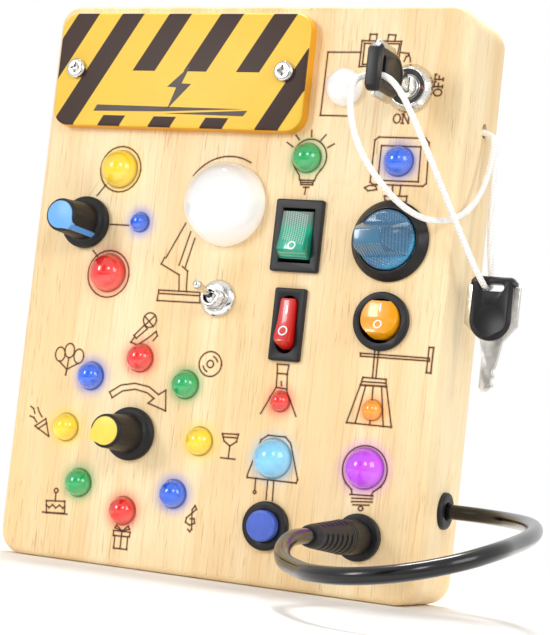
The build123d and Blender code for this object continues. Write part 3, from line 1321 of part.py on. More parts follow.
# ================================================================ the whole board
def nodes():
    """Every node's name with its solid."""
    pieces = {
        "board_shell": board_shell(),
        "back_panel": back_panel(),
        "back_panel_screws": back_panel_screws(),
        "sign_plate": sign_plate(),
        "sign_screws": sign_screws(),
        "ring_lamps": ring_lamps(),
        "pot_bodies": pot_bodies(),
        "panel_nuts": panel_nuts(),
        "toggle_body": toggle_body(),
        "toggle_lever": toggle_lever(),
        "green_rocker_frame": green_rocker_frame(),
        "green_rocker": green_rocker(),
        "red_rocker_frame": red_rocker_frame(),
        "red_rocker": red_rocker(),
        "round_rocker_frame": round_rocker_frame(),
        "round_rocker": round_rocker(),
        "selector_body": selector_body(),
        "selector_knob": selector_knob(),
        "button_body": button_body(),
        "button_cap": button_cap(),
        "button_spring": button_spring(),
        "lock_body": lock_body(),
        "lock_plug": lock_plug(),
        "key_blade": key_at_lock(key_metal()),
        "key_bow": key_at_lock(key_plastic()),
        "spare_key_blade": key_on_cord(key_metal()),
        "spare_key_bow": key_on_cord(key_plastic()),
        "dc_socket": dc_socket(),
        "dc_plug": dc_plug(),
        "dc_plug_boot": dc_plug_boot(),
        "cable": cable(),
        "cable_grommet": cable_grommet(),
        "key_cord": key_cord(),
        "cord_knot": cord_knot(),
        "battery_tray": battery_tray(),
        "batteries": batteries(),
        "battery_contacts": battery_contacts(),
        "battery_door": battery_door(),
        "battery_door_screw": battery_door_screw(),
        "circuit_board": circuit_board(),
        "circuit_board_standoffs": circuit_board_standoffs(),
    }
    knobs = {
        "pointer": (POINTER_KNOB_AT, POINTER_KNOB_ANGLE),
        "ring": (RING_KNOB_AT, RING_KNOB_ANGLE),
    }
    for name, (place, angle) in knobs.items():
        pieces[f"{name}_knob"] = turned_knob(place, angle, knob_body())
        pieces[f"{name}_knob_cap"] = turned_knob(place, angle, knob_cap())
        pieces[f"{name}_pot_shaft"] = turned_knob(place, angle, pot_shaft())
    for name in lamp_list():
        pieces[name] = single_lamp(name)
    return pieces


os.makedirs("parts", exist_ok=True)
for node_name, node_solid in nodes().items():
    export_step(node_solid, f"parts/{node_name}.step")
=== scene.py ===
"""Looks of the wooden busy board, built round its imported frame.

The frame gives every piece its place, in metres: the board stands on z = 0, its front face looks along -Y and
+X is to the right seen from the front. Shapes are drawn in millimetres in a local frame, X right, Y up and
Z out of the face that carries the piece, and are put in place once they are finished.
"""

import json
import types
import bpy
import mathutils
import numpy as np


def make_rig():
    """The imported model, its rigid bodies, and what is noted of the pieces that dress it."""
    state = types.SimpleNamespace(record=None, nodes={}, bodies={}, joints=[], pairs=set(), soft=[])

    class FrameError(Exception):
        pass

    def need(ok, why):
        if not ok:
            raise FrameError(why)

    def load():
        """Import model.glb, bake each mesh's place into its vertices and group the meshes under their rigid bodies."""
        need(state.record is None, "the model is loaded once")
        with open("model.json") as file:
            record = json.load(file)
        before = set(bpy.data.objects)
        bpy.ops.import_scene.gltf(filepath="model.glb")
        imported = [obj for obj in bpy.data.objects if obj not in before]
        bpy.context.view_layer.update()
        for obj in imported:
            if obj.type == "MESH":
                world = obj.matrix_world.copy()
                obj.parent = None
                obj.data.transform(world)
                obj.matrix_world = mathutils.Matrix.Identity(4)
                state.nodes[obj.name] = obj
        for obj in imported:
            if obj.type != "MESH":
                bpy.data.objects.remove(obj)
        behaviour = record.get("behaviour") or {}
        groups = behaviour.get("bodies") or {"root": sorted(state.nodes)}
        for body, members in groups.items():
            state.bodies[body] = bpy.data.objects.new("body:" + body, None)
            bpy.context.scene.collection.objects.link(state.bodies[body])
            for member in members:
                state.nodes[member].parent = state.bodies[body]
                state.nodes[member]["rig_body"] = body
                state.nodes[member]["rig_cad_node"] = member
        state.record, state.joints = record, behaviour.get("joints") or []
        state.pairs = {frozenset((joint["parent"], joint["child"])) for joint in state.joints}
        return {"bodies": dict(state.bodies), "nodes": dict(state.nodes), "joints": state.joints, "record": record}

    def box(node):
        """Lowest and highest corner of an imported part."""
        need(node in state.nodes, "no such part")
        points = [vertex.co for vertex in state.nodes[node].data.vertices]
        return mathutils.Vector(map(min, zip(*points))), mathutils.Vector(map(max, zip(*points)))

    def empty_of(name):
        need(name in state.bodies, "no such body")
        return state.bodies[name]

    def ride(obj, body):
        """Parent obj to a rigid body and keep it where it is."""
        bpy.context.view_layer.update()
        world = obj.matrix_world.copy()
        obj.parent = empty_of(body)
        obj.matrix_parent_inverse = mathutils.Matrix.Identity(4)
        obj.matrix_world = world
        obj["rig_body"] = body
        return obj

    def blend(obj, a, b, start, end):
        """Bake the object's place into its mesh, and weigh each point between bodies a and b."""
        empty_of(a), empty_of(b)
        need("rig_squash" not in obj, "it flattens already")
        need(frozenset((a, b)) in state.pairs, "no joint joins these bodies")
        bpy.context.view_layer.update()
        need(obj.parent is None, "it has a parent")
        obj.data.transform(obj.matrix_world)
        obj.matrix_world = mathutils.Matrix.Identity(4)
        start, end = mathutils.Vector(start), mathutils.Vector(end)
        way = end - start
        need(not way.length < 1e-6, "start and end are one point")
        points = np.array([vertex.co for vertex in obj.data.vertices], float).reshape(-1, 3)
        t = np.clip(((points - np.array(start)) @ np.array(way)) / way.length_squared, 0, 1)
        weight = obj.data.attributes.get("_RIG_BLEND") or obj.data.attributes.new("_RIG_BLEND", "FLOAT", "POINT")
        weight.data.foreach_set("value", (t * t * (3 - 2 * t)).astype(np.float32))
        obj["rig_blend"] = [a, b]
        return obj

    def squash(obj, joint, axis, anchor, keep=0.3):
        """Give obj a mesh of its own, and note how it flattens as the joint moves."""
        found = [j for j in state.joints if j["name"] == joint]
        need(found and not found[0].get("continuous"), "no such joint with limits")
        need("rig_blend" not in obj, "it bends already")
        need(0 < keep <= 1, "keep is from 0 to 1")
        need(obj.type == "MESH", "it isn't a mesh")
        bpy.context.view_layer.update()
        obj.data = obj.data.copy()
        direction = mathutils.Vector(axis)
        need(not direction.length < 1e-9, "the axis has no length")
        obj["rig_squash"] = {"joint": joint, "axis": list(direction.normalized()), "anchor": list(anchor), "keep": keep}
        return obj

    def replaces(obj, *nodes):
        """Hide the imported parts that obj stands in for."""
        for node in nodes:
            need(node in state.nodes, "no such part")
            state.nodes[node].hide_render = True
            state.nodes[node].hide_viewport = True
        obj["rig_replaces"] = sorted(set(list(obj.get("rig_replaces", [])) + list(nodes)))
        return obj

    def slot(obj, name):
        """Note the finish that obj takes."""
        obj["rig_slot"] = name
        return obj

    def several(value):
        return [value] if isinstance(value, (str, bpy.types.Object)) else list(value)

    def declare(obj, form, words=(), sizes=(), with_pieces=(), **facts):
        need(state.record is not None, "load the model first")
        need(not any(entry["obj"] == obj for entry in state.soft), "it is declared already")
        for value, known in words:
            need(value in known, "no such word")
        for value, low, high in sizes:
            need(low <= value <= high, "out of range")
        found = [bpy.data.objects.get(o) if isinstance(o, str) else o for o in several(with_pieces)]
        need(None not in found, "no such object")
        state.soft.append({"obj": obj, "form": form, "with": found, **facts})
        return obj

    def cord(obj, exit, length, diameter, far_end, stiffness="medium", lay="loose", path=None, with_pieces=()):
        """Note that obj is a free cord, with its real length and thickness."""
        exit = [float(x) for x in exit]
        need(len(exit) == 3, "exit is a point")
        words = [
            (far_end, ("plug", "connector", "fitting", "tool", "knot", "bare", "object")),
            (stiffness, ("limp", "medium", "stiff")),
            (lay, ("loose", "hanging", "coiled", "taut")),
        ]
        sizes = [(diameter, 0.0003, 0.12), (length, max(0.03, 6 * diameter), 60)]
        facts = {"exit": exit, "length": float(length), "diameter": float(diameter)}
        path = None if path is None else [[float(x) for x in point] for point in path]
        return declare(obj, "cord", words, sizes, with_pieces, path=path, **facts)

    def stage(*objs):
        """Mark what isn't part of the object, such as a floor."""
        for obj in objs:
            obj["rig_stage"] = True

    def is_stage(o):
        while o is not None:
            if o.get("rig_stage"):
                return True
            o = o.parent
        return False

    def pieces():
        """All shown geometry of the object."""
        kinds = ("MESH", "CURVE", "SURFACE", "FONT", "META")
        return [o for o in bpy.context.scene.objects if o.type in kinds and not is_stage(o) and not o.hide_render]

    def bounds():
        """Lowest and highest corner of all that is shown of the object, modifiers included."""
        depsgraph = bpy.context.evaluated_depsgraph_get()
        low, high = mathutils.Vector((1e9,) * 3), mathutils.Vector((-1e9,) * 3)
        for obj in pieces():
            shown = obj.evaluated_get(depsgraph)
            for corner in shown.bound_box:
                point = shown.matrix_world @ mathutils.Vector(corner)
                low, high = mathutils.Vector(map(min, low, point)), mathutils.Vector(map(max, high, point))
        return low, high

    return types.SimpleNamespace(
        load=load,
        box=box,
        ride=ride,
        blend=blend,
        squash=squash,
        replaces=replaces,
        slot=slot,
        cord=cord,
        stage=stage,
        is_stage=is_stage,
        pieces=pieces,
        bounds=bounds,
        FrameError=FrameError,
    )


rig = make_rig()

bl_info = {
    "name": "Wooden Busy Board",
    "version": (1, 0, 0),
    "blender": (4, 5, 0),
    "location": "3D View > Sidebar > Busy Board",
    "description": "Dresses the packed frame of a wooden activity board with its finishes, drawings, lamps and cords",
    "category": "Object",
}

import json
from math import atan2, cos, radians, sin, sqrt, tau

import bmesh
import bpy
from bpy.props import FloatProperty, FloatVectorProperty, IntProperty, PointerProperty
from mathutils import Matrix, Vector

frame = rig.load()
CAD_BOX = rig.bounds()

MM = 0.001
FRONT_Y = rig.box("board_shell")[0].y
SIDE_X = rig.box("board_shell")[1].x

# ---------------------------------------------------------------- places on the front face, x and z in mm
LOCK_AT = (72.2, 206.0)
POINTER_KNOB_AT = (-70.6, 144.5)
RING_KNOB_AT = (-37.0, 56.0)
TOGGLE_AT = (-3.5, 115.7)
GREEN_ROCKER_AT = (30.0, 143.7)
RED_ROCKER_AT = (30.0, 107.0)
ROUND_ROCKER_AT = (70.6, 111.2)
SELECTOR_AT = (70.6, 143.7)
SELECTOR_ANGLE = 183.5
BUTTON_TRAVEL = 0.0025
SOCKET_AT = (70.6, 24.8)
SIGN_AT = (-31.45, 210.83)
GROMMET_AT = (1.8, 38.8)

# Centrelines of the cords in mm, as the frame's solids have them.
CABLE_ROUTE = [
    (70.6, -71.0, 24.8),
    (70.6, -85.0, 24.8),
    (74.8, -103.0, 20.8),
    (83.4, -119.7, 17.0),
    (95.2, -134.6, 15.9),
    (107.3, -149.8, 15.7),
    (124.3, -157.2, 16.7),
    (142.5, -155.6, 20.1),
    (157.0, -145.1, 25.2),
    (163.9, -128.7, 29.9),
    (162.5, -109.5, 31.7),
    (161.1, -90.5, 33.7),
    (157.7, -72.0, 35.5),
    (152.4, -53.9, 36.9),
    (144.9, -36.7, 37.9),
    (135.3, -20.4, 38.3),
    (123.5, -5.1, 38.5),
    (108.5, 1.8, 38.8),
    (90.5, 1.8, 38.8),
]
CORD_ROUTE = [
    (86.5, 2.4, 194.3),
    (100.1, 2.4, 194.3),
    (102.2, 0.4, 187.3),
    (102.8, -3.2, 176.3),
    (101.6, -9.6, 163.6),
    (98.1, -19.4, 154.4),
    (90.5, -31.0, 150.8),
    (84.6, -46.0, 153.6),
    (79.6, -60.0, 160.8),
    (73.6, -66.5, 170.4),
    (68.3, -67.0, 181.6),
    (65.3, -64.6, 192.4),
    (64.5, -60.4, 200.4),
    (67.6, -57.6, 203.3),
    (79.3, -57.6, 203.2),
    (87.9, -46.6, 184.6),
    (108.7, -15.5, 128.8),
    (108.7, -2.6, 128.8),
    (108.0, -3.4, 136.0),
    (105.6, -3.0, 152.0),
    (103.5, 1.0, 172.0),
    (101.6, 5.0, 187.0),
    (100.3, 5.2, 194.3),
    (86.5, 5.2, 194.3),
]


# ================================================================ finishes
class Value:
    """A socket of a material whose maths is written as an expression."""

    def __init__(self, finish, socket):
        self.finish = finish
        self.socket = socket

    def math(self, operation, *others, clamp=False):
        sockets = dict(enumerate((self, *others)))
        return self.finish.node("Math", {"operation": operation, "use_clamp": clamp}, sockets)

    def __add__(self, other):
        return self.math("ADD", other)

    def __radd__(self, other):
        return self.math("ADD", other)

    def __sub__(self, other):
        return self.math("SUBTRACT", other)

    def __rsub__(self, other):
        return self.finish.node("Math", {"operation": "SUBTRACT"}, {0: other, 1: self})

    def __mul__(self, other):
        return self.math("MULTIPLY", other)

    def __rmul__(self, other):
        return self.math("MULTIPLY", other)

    def __truediv__(self, other):
        return self.math("DIVIDE", other)

    def __rtruediv__(self, other):
        return self.finish.node("Math", {"operation": "DIVIDE"}, {0: other, 1: self})

    def __pow__(self, other):
        return self.math("POWER", other)

    def __abs__(self):
        return self.math("ABSOLUTE")

    def __gt__(self, other):
        return self.math("GREATER_THAN", other)

    def __lt__(self, other):
        return self.math("LESS_THAN", other)

    def fract(self):
        return self.math("FRACT")

    def floor(self):
        return self.math("FLOOR")

    def sine(self):
        return self.math("SINE")

    def most(self, other):
        return self.math("MAXIMUM", other)

    def clamp(self):
        return self.math("ADD", 0.0, clamp=True)

    def ramp(self, low, high, smooth=True):
        """0 below low, 1 above high."""
        kind = "SMOOTHSTEP" if smooth else "LINEAR"
        sockets = {"Value": self, "From Min": low, "From Max": high}
        return self.finish.node("MapRange", {"interpolation_type": kind}, sockets)


class Finish:
    """A material built node by node round one principled shader."""

    def __init__(self, name):
        self.material = bpy.data.materials.new(name)
        self.material.use_nodes = True
        self.tree = self.material.node_tree
        self.tree.nodes.clear()

    def node(self, kind, settings=None, sockets=None, output=0):
        """One node: its settings first, then the values or links of its sockets; gives one output."""
        node = self.tree.nodes.new("ShaderNode" + kind)
        for name, value in (settings or {}).items():
            if name == "stops":
                for element, (position, colour) in zip(self.stops(node, len(value)), value):
                    element.position = position
                    element.color = (*colour, 1.0)
            else:
                setattr(node, name, value)
        for name, value in (sockets or {}).items():
            if isinstance(value, Value):
                self.tree.links.new(value.socket, node.inputs[name])
            else:
                node.inputs[name].default_value = value
        if not node.outputs:
            return None
        return Value(self, node.outputs[output])

    @staticmethod
    def stops(node, count):
        """The elements of a colour ramp, made as many as count."""
        elements = node.color_ramp.elements
        while len(elements) < count:
            elements.new(1.0)
        return elements

    def place(self):
        """Object coordinates in millimetres, as a vector and as its three parts."""
        coordinates = self.node("TexCoord", output=3)
        scaled = self.node("VectorMath", {"operation": "SCALE"}, {0: coordinates, "Scale": 1 / MM})
        return scaled, [self.node("SeparateXYZ", sockets={0: scaled}, output=axis) for axis in range(3)]

    def vector(self, x, y, z):
        return self.node("CombineXYZ", sockets={0: x, 1: y, 2: z})

    def noise(self, vector, scale=1.0, detail=2.0, roughness=0.5, distortion=0.0):
        sockets = {
            "Vector": vector,
            "Scale": scale,
            "Detail": detail,
            "Roughness": roughness,
            "Distortion": distortion,
        }
        return self.node("TexNoise", sockets=sockets)

    def mix(self, share, first, second, blend="MIX"):
        """A colour between two colours."""
        settings = {"data_type": "RGBA", "blend_type": blend}
        return self.node("Mix", settings, {0: share, 6: self.rgba(first), 7: self.rgba(second)}, output=2)

    @staticmethod
    def rgba(colour):
        return colour if isinstance(colour, Value) else (*colour[:3], 1.0)

    def bump(self, height, depth_mm, strength=1.0):
        """A normal from a height between 0 and 1 that stands for a depth in millimetres."""
        sockets = {"Height": height, "Distance": depth_mm * MM, "Strength": strength}
        return self.node("Bump", sockets=sockets)

    def done(self, sockets):
        """Ends the tree in the principled shader with these sockets, and gives the material."""
        plain = {name: self.rgba(value) if name in ("Base Color", "Emission Color") else value
                 for name, value in sockets.items()}
        shader = self.node("BsdfPrincipled", sockets=plain)
        self.node("OutputMaterial", sockets={0: shader})
        return self.material


def surroundings(level):
    """White to the camera, to glass and to metal, and a plain level of light on everything else."""
    world = bpy.data.worlds.new("studio")
    world.use_nodes = True
    sky = Finish.__new__(Finish)
    sky.tree = world.node_tree
    sky.tree.nodes.clear()
    seen = sky.node("LightPath", output=0)
    shown = seen.most(sky.node("LightPath", output=3)).most(sky.node("LightPath", output=6))
    light = sky.node("Background", sockets={"Color": (1.0, 0.99, 0.975, 1.0), "Strength": level})
    white = sky.node("Background", sockets={"Color": (1.0, 1.0, 1.0, 1.0), "Strength": 1.0})
    both = sky.node("MixShader", sockets={0: shown, 1: light, 2: white})
    sky.node("OutputWorld", sockets={0: both})
    bpy.context.scene.world = world


# ================================================================ shapes
def at_face(x, z, turn=0.0):
    """From a piece's own millimetres, Z out of the front, to its place on the front face."""
    place = Matrix(((1, 0, 0, x * MM), (0, 0, -1, FRONT_Y), (0, 1, 0, z * MM), (0, 0, 0, 1)))
    return place @ Matrix.Scale(MM, 4) @ Matrix.Rotation(radians(turn), 4, "Z")


def at_side(y, z):
    """From a piece's own millimetres, Z out of the right-hand side, to its place on that side."""
    place = Matrix(((0, 0, 1, SIDE_X), (1, 0, 0, y * MM), (0, 1, 0, z * MM), (0, 0, 0, 1)))
    return place @ Matrix.Scale(MM, 4)


def shifted(x=0.0, y=0.0, z=0.0):
    return Matrix.Translation((x, y, z))


def turned(angle, axis="Z"):
    return Matrix.Rotation(radians(angle), 4, axis)


def arc(centre, radius, start, end, steps=8):
    """Points of an arc in a plane, angles in degrees."""
    turns = [radians(start + (end - start) * step / steps) for step in range(steps + 1)]
    return [(centre[0] + radius * cos(turn), centre[1] + radius * sin(turn)) for turn in turns]


def lathe(outline, steps=96):
    """A shape spun about Z from (radius, height) points, its poles closed."""
    shape = bmesh.new()
    corners = [shape.verts.new((radius, 0.0, height)) for radius, height in outline]
    edges = [shape.edges.new(pair) for pair in zip(corners, corners[1:])]
    bmesh.ops.spin(
        shape,
        geom=corners + edges,
        cent=(0, 0, 0),
        axis=(0, 0, 1),
        angle=tau,
        steps=steps,
        use_merge=True,
    )
    bmesh.ops.remove_doubles(shape, verts=shape.verts, dist=1e-4)
    return shape


def soften(shape, width, segments=3, where=None, sharper=30):
    """Rounds the edges that are sharper than an angle, or those of them that a test picks."""
    edges = [
        edge
        for edge in shape.edges
        if edge.is_manifold
        and edge.calc_face_angle(0.0) > radians(sharper)
        and (where is None or where(edge))
    ]
    bmesh.ops.bevel(
        shape,
        geom=edges,
        offset=width,
        offset_type="OFFSET",
        segments=segments,
        profile=0.5,
        affect="EDGES",
        clamp_overlap=True,
        material=-1,
    )
    return shape


def prism(outline, low, high, soft=0.0, segments=3):
    """An upright shape over a closed outline of (x, y) points, its upper edge rounded."""
    shape = bmesh.new()
    base = shape.faces.new([shape.verts.new((x, y, low)) for x, y in outline])
    made = bmesh.ops.extrude_face_region(shape, geom=[base])
    raised = [item for item in made["geom"] if isinstance(item, bmesh.types.BMVert)]
    bmesh.ops.translate(shape, vec=(0, 0, high - low), verts=raised)
    bmesh.ops.recalc_face_normals(shape, faces=shape.faces)
    if soft:
        soften(shape, soft, segments, lambda edge: all(v.co.z > high - 1e-5 for v in edge.verts))
    return shape


def round_corners(width, height, corner, steps=8):
    """The outline of a rectangle with round corners, about the origin."""
    x, y = width / 2 - corner, height / 2 - corner
    outline = []
    for index, (a, b) in enumerate(((x, y), (-x, y), (-x, -y), (x, -y))):
        outline += arc((a, b), corner, 90 * index, 90 * index + 90, steps)
    return outline


def slab(width, height, low, high, corner=0.5, soft=0.0, steps=6):
    """An upright block with round corners, its upper edge rounded."""
    return prism(round_corners(width, height, corner, steps), low, high, soft)


def ring_of(outlines):
    """A skin over equal closed outlines, each a list of points in space, joined one to the next."""
    shape = bmesh.new()
    loops = []
    for outline in outlines:
        corners = [shape.verts.new(point) for point in outline]
        loops.append([shape.edges.new((a, b)) for a, b in zip(corners, corners[1:] + corners[:1])])
    for below, above in zip(loops, loops[1:]):
        bmesh.ops.bridge_loops(shape, edges=below + above)
    for loop in (loops[0], loops[-1]):
        bmesh.ops.contextual_create(shape, geom=loop)
    bmesh.ops.recalc_face_normals(shape, faces=shape.faces)
    return shape


def merged(*parts):
    """One shape from several: each is a shape, or a shape and the matrix that places it."""
    whole = bmesh.new()
    for part in parts:
        shape, place = part if isinstance(part, tuple) else (part, Matrix())
        shape.transform(place)
        mesh = bpy.data.meshes.new("part")
        shape.to_mesh(mesh)
        shape.free()
        whole.from_mesh(mesh)
        bpy.data.meshes.remove(mesh)
    return whole


def add(mesh, name, body, slot, finish, replaces=()):
    """Puts a finished mesh in the scene as a piece that rides on a body."""
    mesh.name = name
    mesh.materials.clear()
    mesh.materials.append(finish)
    piece = bpy.data.objects.new(name, mesh)
    bpy.context.scene.collection.objects.link(piece)
    if replaces:
        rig.replaces(piece, *replaces)
    if slot:
        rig.slot(piece, slot)
    if body:
        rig.ride(piece, body)
    return piece


def put(shape, name, place, body, slot, finish, replaces=(), smooth=38):
    """Ends a shape: places it, turns its faces outwards, smooths it and adds it as a piece."""
    shape.transform(place)
    bmesh.ops.recalc_face_normals(shape, faces=shape.faces)
    mesh = bpy.data.meshes.new(name)
    shape.to_mesh(mesh)
    shape.free()
    mesh.shade_smooth()
    mesh.set_sharp_from_angle(angle=radians(smooth))
    return add(mesh, name, body, slot, finish, replaces)


def paint(finish, *nodes):
    """Gives nodes of the frame a finish."""
    for name in nodes:
        for held in frame["nodes"][name].material_slots:
            held.material = finish


# ================================================================ cords
def curve_through(points, order=0, bevel=0.0, sides=5):
    """An open curve in metres: a smooth spline of that order, or straight runs if it is 0."""
    curve = bpy.data.curves.new("line", "CURVE")
    curve.dimensions = "3D"
    curve.resolution_u = 14
    curve.bevel_depth = bevel
    curve.bevel_resolution = sides
    curve.use_fill_caps = True
    line = curve.splines.new("NURBS" if order else "POLY")
    line.points.add(len(points) - 1)
    for held, point in zip(line.points, points):
        held.co = (*point, 1.0)
    if order:
        line.order_u = order
        line.use_endpoint_u = True
    return curve


def as_mesh(curve):
    """The mesh of a curve, which is then removed."""
    holder = bpy.data.objects.new("line", curve)
    bpy.context.scene.collection.objects.link(holder)
    mesh = bpy.data.meshes.new_from_object(holder)
    bpy.data.objects.remove(holder)
    bpy.data.curves.remove(curve)
    return mesh


def smooth_line(route):
    """Points of the spline that has a route's points, in mm, as its control points."""
    scaled = [tuple(part * MM for part in point) for point in route]
    mesh = as_mesh(curve_through(scaled, order=3))
    line = [tuple(vertex.co) for vertex in mesh.vertices]
    bpy.data.meshes.remove(mesh)
    return line


def tube(line, name, radius, body, slot, finish, replaces=(), sides=5):
    """A round tube along a line of points, added as a piece."""
    mesh = as_mesh(curve_through(line, bevel=radius * MM, sides=sides))
    mesh.shade_smooth()
    return add(mesh, name, body, slot, finish, replaces)


def line_length(line):
    return sum((Vector(b) - Vector(a)).length for a, b in zip(line, line[1:]))


def ribbed(shape, count, depth, low, high, fade=1.0):
    """Presses upright flutes into a turned shape between two heights."""
    for vertex in shape.verts:
        x, y, z = vertex.co
        radius = sqrt(x * x + y * y)
        if radius < 1e-6 or not low <= z <= high:
            continue
        share = min(1.0, (z - low) / fade, (high - z) / fade)
        wave = abs(sin(count * atan2(y, x) / 2)) ** 0.6
        vertex.co.xy *= 1 - share * depth * (1 - wave) / radius
    return shape


def copied(node, soft=0.0, segments=2, sharper=35, merge=0.004, flat=1.0):
    """A node's own shape in metres as one joined skin, with its sharp edges rounded where wanted."""
    shape = bmesh.new()
    shape.from_mesh(frame["nodes"][node].data)
    bmesh.ops.remove_doubles(shape, verts=shape.verts, dist=merge * MM)
    bmesh.ops.dissolve_limit(shape, angle_limit=radians(flat), verts=shape.verts, edges=shape.edges)
    if soft:
        soften(shape, soft * MM, segments, sharper=sharper)
    return shape


# ================================================================ finishes that several pieces share
def hex_colour(text):
    """A linear colour from its usual six digits."""
    parts = [int(text[index : index + 2], 16) / 255 for index in (1, 3, 5)]
    return tuple(part / 12.92 if part <= 0.04045 else ((part + 0.055) / 1.055) ** 2.4 for part in parts)


def moulded(name, colour, roughness=0.35, grain=0.25, coat=0.0, shade=0.85, gloss=0.3):
    """Moulded plastic: a fine matt grain, faint flow marks and edges painted lighter as a highlight."""
    finish = Finish(name)
    vector, _ = finish.place()
    fine = finish.noise(vector, scale=5.0, detail=3.0, roughness=0.6)
    wide = finish.noise(vector, scale=0.16, detail=2.0)
    darker = tuple(part * shade for part in colour)
    # Painted highlight: convex edges are painted lighter.
    edge_highlight = finish.node("NewGeometry", output=7).ramp(0.52, 0.6)
    tint = finish.mix(wide.ramp(0.3, 0.7), darker, colour)
    tint = finish.mix(edge_highlight * 0.35, tint, tuple(min(1.0, part * 1.25 + 0.02) for part in colour))
    return finish.done(
        {
            "Base Color": tint,
            "Roughness": fine * 0.18 + (wide * 0.1 + (roughness - 0.14)),
            "Specular IOR Level": gloss,
            "Coat Weight": coat,
            "Coat Roughness": 0.12,
            "Normal": finish.bump(fine, grain * 0.06),
        }
    )


def metal(name, colour, roughness=0.16, brushed=0.0):
    """Plated metal with faint wipe marks."""
    finish = Finish(name)
    vector, parts = finish.place()
    wide = finish.noise(vector, scale=0.3, detail=3.0)
    if brushed:
        vector = finish.vector(parts[0] * 0.15, parts[1] * 6.0, parts[2] * 6.0)
    fine = finish.noise(vector, scale=3.0, detail=3.0, roughness=0.7)
    darker = tuple(part * 0.86 for part in colour)
    return finish.done(
        {
            "Base Color": finish.mix(wide.ramp(0.35, 0.65), darker, colour),
            "Metallic": 1.0,
            "Roughness": fine * 0.12 + wide * 0.1 + (roughness - 0.08),
            "Normal": finish.bump(fine, 0.004 + brushed * 0.02),
        }
    )


# ================================================================ settings
def colour_setting(name, text, description):
    return FloatVectorProperty(
        name=name,
        description=description,
        default=hex_colour(text),
        min=0.0,
        max=1.0,
        size=3,
        subtype="COLOR",
    )


class BoardSettings(bpy.types.PropertyGroup):
    """Colours of the board and of its sign."""

    wood: colour_setting("Pine", "#fde8bd", "Pale ground colour of the pine")
    wood_dark: colour_setting("Pine bands", "#f1cf97", "Colour of the darker bands of the pine")
    streak: colour_setting("Pine streaks", "#b98a52", "Colour of the short dark streaks in the pine")
    burnt: colour_setting("Burnt lines", "#2c170b", "Colour of the drawings burnt into the wood")
    sign_yellow: colour_setting("Sign ground", "#f7cb4d", "Yellow of the sign")
    sign_dark: colour_setting("Sign stripes", "#3d2b24", "Dark colour of the sign's stripes")
    stripe_width: FloatProperty(
        name="Stripe width", description="Width of each dark stripe, along the sign", default=0.0108, unit="LENGTH"
    )
    line_width: FloatProperty(
        name="Line width", description="Width of the burnt lines", default=0.0005, unit="LENGTH"
    )


class LampSettings(bpy.types.PropertyGroup):
    """Colours and glow of the lamps."""

    red: colour_setting("Red", "#e0261c", "Red lamps")
    green: colour_setting("Green", "#12a254", "Green lamps")
    yellow: colour_setting("Yellow", "#f5cf21", "Yellow lamps")
    blue: colour_setting("Blue", "#1f62e0", "Blue lamps")
    orange: colour_setting("Orange", "#fa9614", "Orange lamp")
    purple: colour_setting("Purple", "#c33cf5", "Purple lamp")
    light_blue: colour_setting("Light blue", "#7cc9f2", "Light blue lamp")
    white: colour_setting("White", "#f6f4f2", "White lamp and large dome")
    glow: FloatProperty(name="Glow", description="Light that a lamp gives off itself", default=0.22, min=0.0)
    halo: FloatProperty(name="Halo", description="Coloured light on the wood round a lamp", default=0.85, min=0.0)


class SwitchSettings(bpy.types.PropertyGroup):
    """Colours of the knobs and switches."""

    black: colour_setting("Black plastic", "#1b1a1c", "Bezels, keys and knobs")
    cap_blue: colour_setting("Pointer cap", "#74b5f5", "Cap of the pointer knob")
    cap_cream: colour_setting("Ring cap", "#efd95c", "Cap of the ring knob")
    clear_green: colour_setting("Clear green", "#17a583", "Large rocker")
    rocker_red: colour_setting("Rocker red", "#cb1b17", "Narrow rocker")
    rocker_amber: colour_setting("Rocker amber", "#eea30c", "Round rocker")
    selector_blue: colour_setting("Selector blue", "#1688bd", "Selector's disc and handle")
    button_blue: colour_setting("Button blue", "#4f6cd2", "Push button")
    knob_ribs: IntProperty(name="Knob ribs", description="Flutes round each knob", default=18, min=6)


class CordSettings(bpy.types.PropertyGroup):
    """Sizes and colours of the lead and of the keys' cord."""

    lead_radius: FloatProperty(
        name="Lead radius", description="Half the lead's thickness", default=0.003, unit="LENGTH"
    )
    cord_radius: FloatProperty(
        name="Cord radius", description="Half the cord's thickness", default=0.00125, unit="LENGTH"
    )
    lead: colour_setting("Lead", "#0d0d0f", "Black rubber of the lead")
    cord: colour_setting("Cord", "#fffefb", "White braid of the keys' cord")


SETTINGS = {
    "busy_board": BoardSettings,
    "busy_lamps": LampSettings,
    "busy_switches": SwitchSettings,
    "busy_cords": CordSettings,
}


